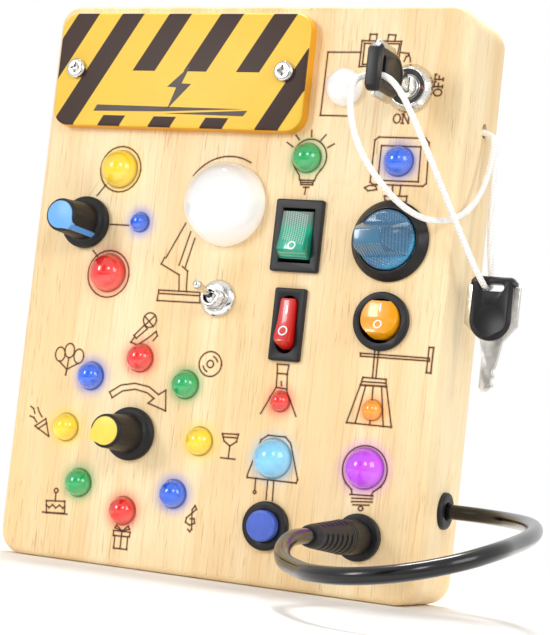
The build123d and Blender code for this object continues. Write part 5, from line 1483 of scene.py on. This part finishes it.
class BUSYBOARD_OT_knobs(bpy.types.Operator):
    """Two ribbed knobs with coloured caps and pointers"""

    bl_idname = "busyboard.knobs"
    bl_label = "Knobs"

    def execute(self, context):
        settings = switch_settings(context)
        black = moulded("knob_black", tuple(settings.black), roughness=0.42, grain=0.5)
        # Each pointer bar is its cap's plastic in a second colour of painted light and shade: darker blue on the
        # pointer knob, paler cream on the ring knob.
        caps = {
            "pointer": (POINTER_KNOB_AT, -43.0, tuple(settings.cap_blue), hex_colour("#5a9fe8"), "blue_plastic"),
            "ring": (RING_KNOB_AT, 205.0, tuple(settings.cap_cream), hex_colour("#f0e083"), "cream_plastic"),
        }
        for name, (place, angle, colour, bar_light_shade_colour, slot) in caps.items():
            body = f"{name}_knob"
            spot = at_face(*place, angle)
            put(self.grip(settings.knob_ribs), body + "_grip", spot, body, "knob_black", black, [body])
            cap = moulded(body + "_cap", colour, roughness=0.3, grain=0.1, shade=0.93)
            bar = moulded(body + "_bar", bar_light_shade_colour, roughness=0.3, grain=0.1, shade=0.93)
            put(self.cap(), body + "_disc", spot, body, slot, cap, [body + "_cap"])
            put(self.pointer(), body + "_pointer", spot, body, slot, bar)
            steel = metal(body + "_shaft", hex_colour("#c9c7c2"), brushed=1.0)
            paint(steel, f"{name}_pot_shaft")
        return {"FINISHED"}

    @staticmethod
    def grip(ribs):
        """Wide skirt under a tapering ribbed grip, hollow where it fits the shaft."""
        outline = [(3.05, 18.9), (3.05, 0.6), (10.9, 0.6), (11.25, 0.95), (11.25, 2.5), (11.1, 3.1), (10.7, 3.45)]
        outline += [(9.6, 3.75), (8.6, 4.1), (8.1, 4.6), (7.9, 5.3)]
        outline += [(7.9 - 0.8 * step / 24, 5.3 + 16.4 * step / 24) for step in range(1, 25)]
        outline += [(7.0, 22.2), (6.75, 22.7), (6.3, 22.95), (5.5, 23.0), (5.4, 22.9), (5.4, 22.4), (0.0, 22.4)]
        return ribbed(lathe(outline, ribs * 14), ribs, 0.085, 4.2, 22.3, fade=1.4)

    @staticmethod
    def cap():
        """Drop-shaped cap whose corner lies over the pointer."""
        outline = arc((0.0, 0.0), 5.9, 38, 322, 40) + [(7.4, -1.35), (7.4, 1.35)]
        return prism(outline, 21.0, 23.45, 0.3)

    @staticmethod
    def pointer():
        """Bar that runs down the grip from the cap's corner."""
        sections = []
        for x, half, z in (
            (6.6, 1.3, 23.35), (7.4, 1.3, 23.0), (7.75, 1.25, 19.0), (8.1, 1.2, 14.0), (8.5, 1.15, 9.5), (9.0, 1.1, 5.2)
        ):
            inner = (x, z - 1.0) if z > 23.2 else (x - 1.3, z if z < 23 else z - 1.0)
            sections.append([(inner[0], -half, inner[1]), (x, -half, z), (x, half, z), (inner[0], half, inner[1])])
        return soften(ring_of(sections), 0.28, 3, sharper=50)


class BUSYBOARD_OT_toggle(bpy.types.Operator):
    """Chromed toggle switch: ring, nut, threaded bushing and tilted lever"""

    bl_idname = "busyboard.toggle"
    bl_label = "Toggle switch"

    def execute(self, context):
        chrome = metal("chrome", hex_colour("#e4e3e1"), roughness=0.1)
        spot = at_face(*TOGGLE_AT)
        outline = [(4.0, 0.0), (8.0, 0.0), (8.0, 0.7), (7.6, 1.5), (6.8, 2.2), (5.8, 2.6)]
        outline += [(5.2, 2.3), (4.6, 2.2), (4.0, 2.2)]
        dress = lathe(outline, 96)
        nut = prism(ring(0.0, 0.0, 5.9, 0, 300, 5), 2.0, 3.6, 0.3)
        put(merged(dress, nut), "toggle_ring", spot, "board", "chrome", chrome, ["panel_nuts"])
        put(self.bushing(), "toggle_bushing", spot, "board", "chrome", chrome)
        put(self.lever(), "toggle_stick", spot @ shifted(z=6.0) @ turned(-13.4, "X"), "toggle_lever", "chrome",
            chrome, ["toggle_lever"])
        return {"FINISHED"}

    @staticmethod
    def bushing():
        outline = [(3.1, 2.0), (4.0, 2.0)]
        for turn in range(7):
            low = 2.6 + 0.8 * turn
            outline += [(4.0, low), (3.72, low + 0.25), (3.72, low + 0.4), (4.0, low + 0.62)]
        outline += [(4.0, 8.5), (3.6, 9.0), (3.0, 9.0), (2.75, 8.7), (2.75, 4.0), (0.0, 4.0)]
        return lathe(outline, 64)

    @staticmethod
    def lever():
        ball = arc((0.0, 0.0), 2.7, -90, 60, 12)
        stem = [(1.25, 3.0), (1.3, 4.5), (1.55, 9.0), (1.85, 13.0), (2.0, 14.4)]
        tip = [(2.0 * cos(radians(t)), 14.4 + 2.0 * sin(radians(t))) for t in range(12, 90, 11)] + [(0.0, 16.4)]
        return lathe([(max(a, 0.0), b) for a, b in ball] + stem + tip, 64)


def softened(node, body, slot, finish, soft=0.3, smooth=38, segments=2):
    """A node's own shape with rounded edges, in its place."""
    return put(copied(node, soft, segments), node + "_soft", Matrix(), body, slot, finish, [node], smooth)


def about(finish, place):
    """Distances in mm across and up from a place on the front face, and out of it."""
    vector, (x, y, z) = finish.place()
    return vector, x - place[0], z - place[1], FRONT_Y / MM - y


class BUSYBOARD_OT_rockers(bpy.types.Operator):
    """Three rocker switches in black bezels"""

    bl_idname = "busyboard.rockers"
    bl_label = "Rocker switches"

    def execute(self, context):
        settings = switch_settings(context)
        black = moulded("bezel_black", tuple(settings.black), roughness=0.4, grain=0.35)
        for name in ("green", "red", "round"):
            softened(f"{name}_rocker_frame", "board", "black_plastic", black, soft=0.25)
        softened("green_rocker", "green_rocker", "green_clear", self.clear(tuple(settings.clear_green)), soft=0.35)
        red = self.marked("rocker_red", RED_ROCKER_AT, tuple(settings.rocker_red), 1.75, (6.0, -2.9))
        softened("red_rocker", "red_rocker", "red_plastic", red, soft=0.4)
        amber = self.marked("rocker_amber", ROUND_ROCKER_AT, tuple(settings.rocker_amber), 1.5, (5.4, -1.5))
        softened("round_rocker", "round_rocker", "amber_plastic", amber, soft=0.4)
        return {"FINISHED"}

    @staticmethod
    def marked(name, place, colour, size, heights):
        """Glossy plastic with a white I above its pivot and a white O below it, painted darker towards the bezel as
        shade.
        """
        finish = Finish(name)
        vector, across, up, out = about(finish, place)
        line = (abs(across) < 0.3) * (abs(up - heights[0]) < 1.7)
        low = up - heights[1]
        circle = (across * across + low * low) ** 0.5
        mark = line.most(abs(circle - size) < 0.28) * (out > 1.5)
        fine = finish.noise(vector, scale=3.0, detail=2.0)
        deep = tuple(part * 0.72 for part in colour)
        # Painted shade: darker where the rocker sinks towards the front face.
        tint = finish.mix(out.ramp(-1.0, 3.6), deep, colour)
        tint = finish.mix(mark, tint, (0.93, 0.92, 0.9))
        return finish.done(
            {
                "Base Color": tint,
                "Roughness": fine * 0.1 + 0.2,
                "Coat Weight": 0.5,
                "Coat Roughness": 0.06,
                "Subsurface Weight": 0.12,
                "Subsurface Radius": (0.003, 0.001, 0.001),
                "Subsurface Scale": 0.4,
            }
        )

    @staticmethod
    def clear(colour):
        """Clear green plastic over a bed of small lit dots, ribbed at its raised end and greyer towards its top, with
        painted shade at its lower sides and round its base and painted highlights on its ribs.
        """
        finish = Finish("clear_green")
        vector, across, up, out = about(finish, GREEN_ROCKER_AT)
        slant = up + across * 0.22
        column = abs((across / 1.05).fract() - 0.5) * 1.05
        row = abs((slant / 0.8).fract() - 0.5) * 0.8
        dot = ((column * column + row * row) ** 0.5).ramp(0.36, 0.22)
        bed = (abs(across) < 4.9) * (slant > -3.4) * (slant < 9.4)
        greyer_upwards = up.ramp(1.0, 7.5)
        bars = (((up / 1.05).fract() - 0.5) > 0.0) * (up < -7.4) * (abs(across) < 6.0)
        low = up + 4.6
        symbol = abs((across * across + low * low) ** 0.5 - 1.5) < 0.28
        bright = tuple(min(1.0, part * 0.5 + 0.42) for part in colour)
        deep = tuple(part * 0.3 for part in colour)
        tint = finish.mix(greyer_upwards, colour, hex_colour("#6f837b"))
        # Painted shade: darker at the sides of the rocker's lower half.
        tint = finish.mix(abs(across).ramp(4.9, 6.4) * up.ramp(2.0, -2.0) * 0.55, tint, deep)
        tint = finish.mix(dot * bed * 0.8, tint, bright)
        # Painted highlights: every other rib bar is painted brighter.
        tint = finish.mix(bars * 0.4, tint, bright)
        tint = finish.mix(symbol * 0.9, tint, (0.9, 0.97, 0.94))
        # Painted shade: darker round the base, where the rocker sinks into its bezel.
        tint = finish.mix(out.ramp(2.6, 0.2) * 0.75, tint, deep)
        return finish.done(
            {
                "Base Color": tint,
                "Roughness": finish.noise(vector, scale=2.0, detail=2.0) * 0.06 + 0.1,
                "Coat Weight": 0.8,
                "Coat Roughness": 0.03,
                "Emission Color": tint,
                "Emission Strength": 0.05,
                "Normal": finish.bump(bars, 0.12),
            }
        )


class BUSYBOARD_OT_selector(bpy.types.Operator):
    """Selector with a blue clear handle in a black bezel"""

    bl_idname = "busyboard.selector"
    bl_label = "Selector"

    def execute(self, context):
        settings = switch_settings(context)
        black = moulded("selector_black", tuple(settings.black), roughness=0.34, grain=0.2)
        softened("selector_body", "board", "black_plastic", black, soft=0.35)
        softened("selector_knob", "selector_knob", "blue_clear", self.clear(tuple(settings.selector_blue)), soft=0.45)
        return {"FINISHED"}

    @staticmethod
    def clear(colour):
        """Clear blue plastic, ribbed on the disc and on the handle's sides, smooth on its top, with light and shade
        painted on: ribs painted lighter and darker, paler towards its lower right, painted shade on the handle's slope,
        its top and round its base, and a faint painted glow.
        """
        finish = Finish("clear_blue")
        vector, across, up, out = about(finish, SELECTOR_AT)
        turn = radians(SELECTOR_ANGLE)
        along = across * cos(turn) + up * sin(turn)
        aside = up * cos(turn) - across * sin(turn)
        raised = out.ramp(5.9, 6.5)
        top = (abs(aside) < 2.7) * (out > 6.3) * (along > -1.2)
        slope = (along < -1.2) * (abs(aside) < 5.5) * raised
        disc_ribs = ((aside + along * 0.4) * (tau / 1.15)).sine() * 0.5 + 0.5
        handle_ribs = (along * (tau / 1.1)).sine() * 0.5 + 0.5
        ribs = disc_ribs * (slope + (1.0 - raised) * 0.5) + handle_ribs * raised * (1.0 - top) * (1.0 - slope)
        bright = tuple(min(1.0, part * 0.8 + 0.12) for part in colour)
        deep = hex_colour("#074a70")
        # Painted light and shade: the disc's ribs are painted lighter and darker, and the disc paler towards its lower
        # right.
        tint = finish.mix(disc_ribs * 0.3, deep, tuple(part * 0.7 for part in colour))
        tint = finish.mix((across - up).ramp(6.0, 15.0) * 0.7, tint, hex_colour("#2f97c2"))
        # Painted highlights and shade on the handle's ribs.
        side = finish.mix(handle_ribs * 0.75, tuple(part * 0.55 for part in colour), bright)
        tint = finish.mix(raised, tint, side)
        # Painted shade: darker on the handle's slope, a darker blue on its flat top, and darker round its base.
        tint = finish.mix(slope * 0.5, tint, deep)
        tint = finish.mix(top, tint, hex_colour("#24698c"))
        tint = finish.mix(out.ramp(3.4, 2.0), tint, tuple(part * 0.4 for part in colour))
        return finish.done(
            {
                "Base Color": tint,
                "Roughness": finish.noise(vector, scale=2.0, detail=2.0) * 0.06 + 0.12,
                "Coat Weight": 0.7,
                "Coat Roughness": 0.04,
                # A faint painted glow over the whole knob, which is no lamp.
                "Emission Color": tint,
                "Emission Strength": 0.03,
                "Normal": finish.bump(ribs, 0.3),
            }
        )


class BUSYBOARD_OT_button(bpy.types.Operator):
    """Blue push button in a black collar"""

    bl_idname = "busyboard.button"
    bl_label = "Push button"

    def execute(self, context):
        settings = switch_settings(context)
        black = moulded("collar_black", tuple(settings.black), roughness=0.36, grain=0.3)
        blue = moulded("button_blue", tuple(settings.button_blue), roughness=0.3, grain=0.12, coat=0.2)
        softened("button_body", "board", "black_plastic", black, soft=0.3)
        softened("button_cap", "button_cap", "blue_plastic", blue, soft=0.3)
        steel = metal("spring_steel", hex_colour("#b9b8b5"), brushed=1.0)
        wire = copied("button_spring")
        spring = put(wire, "button_spring_wire", Matrix(), "board", "zinc", steel, ["button_spring"])
        (x, front, z), (_, back, _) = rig.box("button_spring")
        kept = 1.0 - BUTTON_TRAVEL / (back - front)
        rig.squash(spring, "button_press", axis=(0, 1, 0), anchor=(x, back, z), keep=kept)
        return {"FINISHED"}


class BUSYBOARD_OT_lock(bpy.types.Operator):
    """Chromed key switch with its turning plug"""

    bl_idname = "busyboard.lock"
    bl_label = "Key switch"

    def execute(self, context):
        finish = Finish("lock_chrome")
        vector, across, up, out = about(finish, LOCK_AT)
        radius = (across * across + up * up) ** 0.5
        fine = finish.noise(vector, scale=2.0, detail=3.0)
        enamel = abs(radius - 6.3).ramp(1.15, 1.05, smooth=False) * (out > 2.6)
        aside = across - 6.4
        dot = ((aside * aside + up * up) ** 0.5).ramp(0.62, 0.5, smooth=False) * (out > 2.6)
        tint = finish.mix(fine.ramp(0.3, 0.7), hex_colour("#d4d2cf"), hex_colour("#eae9e6"))
        tint = finish.mix(enamel, tint, hex_colour("#2b2a2c"))
        tint = finish.mix(dot, tint, hex_colour("#e03020"))
        sockets = {
            "Base Color": tint,
            "Metallic": 1.0 - enamel.most(dot) * 0.9,
            "Roughness": fine * 0.08 + enamel * 0.25 + 0.06,
        }
        chrome = finish.done(sockets)
        softened("lock_body", "board", "chrome", chrome, soft=0.2)
        steel = metal("plug_steel", hex_colour("#cfccc6"), roughness=0.2, brushed=0.6)
        softened("lock_plug", "lock_plug", "chrome", steel, soft=0.15)
        return {"FINISHED"}


class BUSYBOARD_OT_keys(bpy.types.Operator):
    """Two steel keys with black plastic heads"""

    bl_idname = "busyboard.keys"
    bl_label = "Keys"

    def execute(self, context):
        settings = switch_settings(context)
        black = moulded("key_black", tuple(settings.black), roughness=0.34, grain=0.2)
        steel = metal("key_steel", hex_colour("#d6d2ca"), roughness=0.2, brushed=0.5)
        for name in ("key", "spare_key"):
            softened(f"{name}_bow", name, "black_plastic", black, soft=0.3)
            softened(f"{name}_blade", name, "key_steel", steel, soft=0.12)
        return {"FINISHED"}


class BUSYBOARD_OT_lead_ends(bpy.types.Operator):
    """Jack socket, ribbed plug with its boot, and the grommet in the side"""

    bl_idname = "busyboard.lead_ends"
    bl_label = "Jack and grommet"

    def execute(self, context):
        settings = switch_settings(context)
        black = moulded("socket_black", tuple(settings.black), roughness=0.38, grain=0.3)
        rubber = moulded("boot_rubber", tuple(settings.black), roughness=0.45, grain=0.3)
        softened("dc_socket", "board", "black_plastic", black, soft=0.25)
        spot = at_face(*SOCKET_AT)
        put(self.plug(), "plug_grip", spot, "dc_plug", "black_rubber", rubber, ["dc_plug"])
        steel = metal("jack_steel", hex_colour("#cfccc4"))
        put(self.jack(), "plug_jack", spot, "dc_plug", "chrome", steel)
        put(self.boot(), "plug_boot", spot, "dc_plug", "black_rubber", rubber, ["dc_plug_boot"])
        outline = [(3.3, -10.0), (5.0, -10.0), (5.0, 0.0), (7.5, 0.0), (7.5, 1.1), (7.2, 1.7), (6.6, 2.0), (4.4, 2.0)]
        outline += [(3.8, 1.8), (3.45, 1.2), (3.3, 0.2), (3.3, -10.0)]
        grommet = lathe(outline, 72)
        put(grommet, "side_grommet", at_side(*GROMMET_AT), "board", "black_rubber", rubber, ["cable_grommet"])
        return {"FINISHED"}

    @staticmethod
    def plug():
        outline = [(0.0, 3.1), (6.0, 3.1), (6.6, 3.4), (6.85, 4.0)]
        outline += [(6.85, 4.0 + 12.4 * step / 16) for step in range(1, 17)]
        outline += [(6.85, 17.4), (6.5, 17.9), (6.5, 18.3), (6.85, 18.8), (6.85, 20.1), (0.0, 20.1)]
        return ribbed(lathe(outline, 240), 24, 0.075, 4.2, 16.2, fade=0.8)

    @staticmethod
    def jack():
        outline = [(0.0, 3.1), (2.75, 3.1), (2.75, -6.0), (2.5, -6.4), (1.3, -6.4), (1.1, -6.1), (1.1, 2.0), (0.0, 2.0)]
        return lathe(outline, 48)

    @staticmethod
    def boot():
        """Smooth taper with C-shaped slots across it, left whole along a spine on each side."""
        outline = [(0.0, 20.1), (6.6, 20.1), (6.75, 20.3)]
        outline += [(6.75 - 2.1 * step / 104, 20.3 + 25.9 * step / 104) for step in range(1, 105)]
        outline += [(4.5, 46.8), (4.35, 47.2), (4.2, 49.4), (3.8, 50.0), (0.0, 50.0)]
        first, last, pitch, width, depth, spine = 21.6, 45.4, 4.0, 1.5, 1.0, radians(35)
        shape = lathe(outline, 96)
        for vert in shape.verts:
            x, y, z = vert.co
            radius = sqrt(x * x + y * y)
            if first < z < last and (z - first) % pitch < width and radius > 1.0:
                slot = min(1.0, max(0.0, (abs(sin(atan2(y, x) - spine)) - 0.3) * 6.0))
                share = 1.0 - depth * slot / radius
                vert.co = (x * share, y * share, z)
        return shape


class BUSYBOARD_OT_insides(bpy.types.Operator):
    """Screws, nuts, and the parts behind the front and under the battery door"""

    bl_idname = "busyboard.insides"
    bl_label = "Screws and insides"

    def execute(self, context):
        chrome = metal("screw_chrome", hex_colour("#dad7d2"), roughness=0.14)
        zinc = metal("zinc", hex_colour("#b7b6b2"), roughness=0.3, brushed=0.4)
        softened("sign_screws", "board", "chrome", chrome, soft=0.12)
        paint(zinc, "back_panel_screws", "battery_door_screw", "battery_contacts", "pot_bodies")
        nuts = copied("panel_nuts")
        apart = [
            vertex for vertex in nuts.verts
            if vertex.co.y < FRONT_Y + 0.0001 and (vertex.co.xz - Vector(TOGGLE_AT) * MM).length < 0.009
        ]
        bmesh.ops.delete(nuts, geom=apart, context="VERTS")
        put(nuts, "nuts", Matrix(), "board", "zinc", zinc)
        self.toggle_housing(zinc)
        black = moulded("tray_black", hex_colour("#222225"), roughness=0.45, grain=0.3)
        paint(black, "battery_tray")
        paint(moulded("nylon", hex_colour("#ece8dc"), roughness=0.4), "circuit_board_standoffs")
        paint(self.circuit(), "circuit_board")
        paint(self.sleeve(), "batteries")
        return {"FINISHED"}

    @staticmethod
    def toggle_housing(finish):
        housing = copied("toggle_body")
        geometry = housing.verts[:] + housing.edges[:] + housing.faces[:]
        cut = bmesh.ops.bisect_plane(
            housing, geom=geometry, plane_co=(0, FRONT_Y, 0), plane_no=(0, -1, 0), clear_outer=True
        )
        rim = [item for item in cut["geom_cut"] if isinstance(item, bmesh.types.BMEdge)]
        bmesh.ops.contextual_create(housing, geom=rim)
        put(housing, "toggle_housing", Matrix(), "board", "black_plastic", finish, ["toggle_body"])

    @staticmethod
    def circuit():
        """Green lacquer with copper tracks, dark on the parts that stand on it."""
        finish = Finish("circuit")
        vector, (_, y, _) = finish.place()
        cells = finish.node("TexVoronoi", {"feature": "DISTANCE_TO_EDGE"}, {"Vector": vector, "Scale": 0.12})
        tracks = cells.ramp(0.05, 0.03, smooth=False)
        parts = y < 11.3
        tint = finish.mix(tracks, hex_colour("#1c6b3d"), hex_colour("#3f9a5c"))
        tint = finish.mix(parts, tint, hex_colour("#26262a"))
        return finish.done({"Base Color": tint, "Roughness": tracks * 0.1 + 0.3, "Coat Weight": 0.3})

    @staticmethod
    def sleeve():
        """Plain printed sleeve: black, with a copper-coloured end band."""
        finish = Finish("battery_sleeve")
        _, (x, y, z) = finish.place()
        band = abs(x + 35.0) > 15.0
        fine = finish.noise(finish.vector(x, y, z), scale=0.4, detail=2.0)
        tint = finish.mix(band, hex_colour("#1f1f22"), hex_colour("#b9793f"))
        return finish.done({"Base Color": tint, "Metallic": band * 0.6, "Roughness": fine * 0.1 + 0.26})


# ================================================================ sidebar and running
PIECES = (
    BUSYBOARD_OT_stage,
    BUSYBOARD_OT_cords,
    BUSYBOARD_OT_board,
    BUSYBOARD_OT_sign,
    BUSYBOARD_OT_drawings,
    BUSYBOARD_OT_lamps,
    BUSYBOARD_OT_knobs,
    BUSYBOARD_OT_toggle,
    BUSYBOARD_OT_rockers,
    BUSYBOARD_OT_selector,
    BUSYBOARD_OT_button,
    BUSYBOARD_OT_lock,
    BUSYBOARD_OT_keys,
    BUSYBOARD_OT_lead_ends,
    BUSYBOARD_OT_insides,
)


class BUSYBOARD_PT_pieces(bpy.types.Panel):
    """Settings and pieces of the busy board"""

    bl_idname = "BUSYBOARD_PT_pieces"
    bl_label = "Busy board"
    bl_space_type = "VIEW_3D"
    bl_region_type = "UI"
    bl_category = "Busy Board"

    def draw(self, context):
        for name, kind in SETTINGS.items():
            box = self.layout.box()
            for setting in kind.__annotations__:
                box.prop(getattr(context.scene, name), setting)
        for piece in PIECES:
            self.layout.operator(piece.bl_idname)


CLASSES = (*SETTINGS.values(), *PIECES, BUSYBOARD_PT_pieces)


def register():
    for kind in CLASSES:
        bpy.utils.register_class(kind)
    for name, kind in SETTINGS.items():
        setattr(bpy.types.Scene, name, PointerProperty(type=kind))


def unregister():
    for name in SETTINGS:
        delattr(bpy.types.Scene, name)
    for kind in reversed(CLASSES):
        bpy.utils.unregister_class(kind)


def main():
    register()
    for piece in PIECES:
        group, name = piece.bl_idname.split(".")
        getattr(getattr(bpy.ops, group), name)()
    boxes = {
        "cad": [list(corner) for corner in CAD_BOX],
        "visual": [list(corner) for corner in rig.bounds()],
    }
    with open("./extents.json", "w") as file:
        json.dump(boxes, file)


if __name__ == "__main__":
    main()
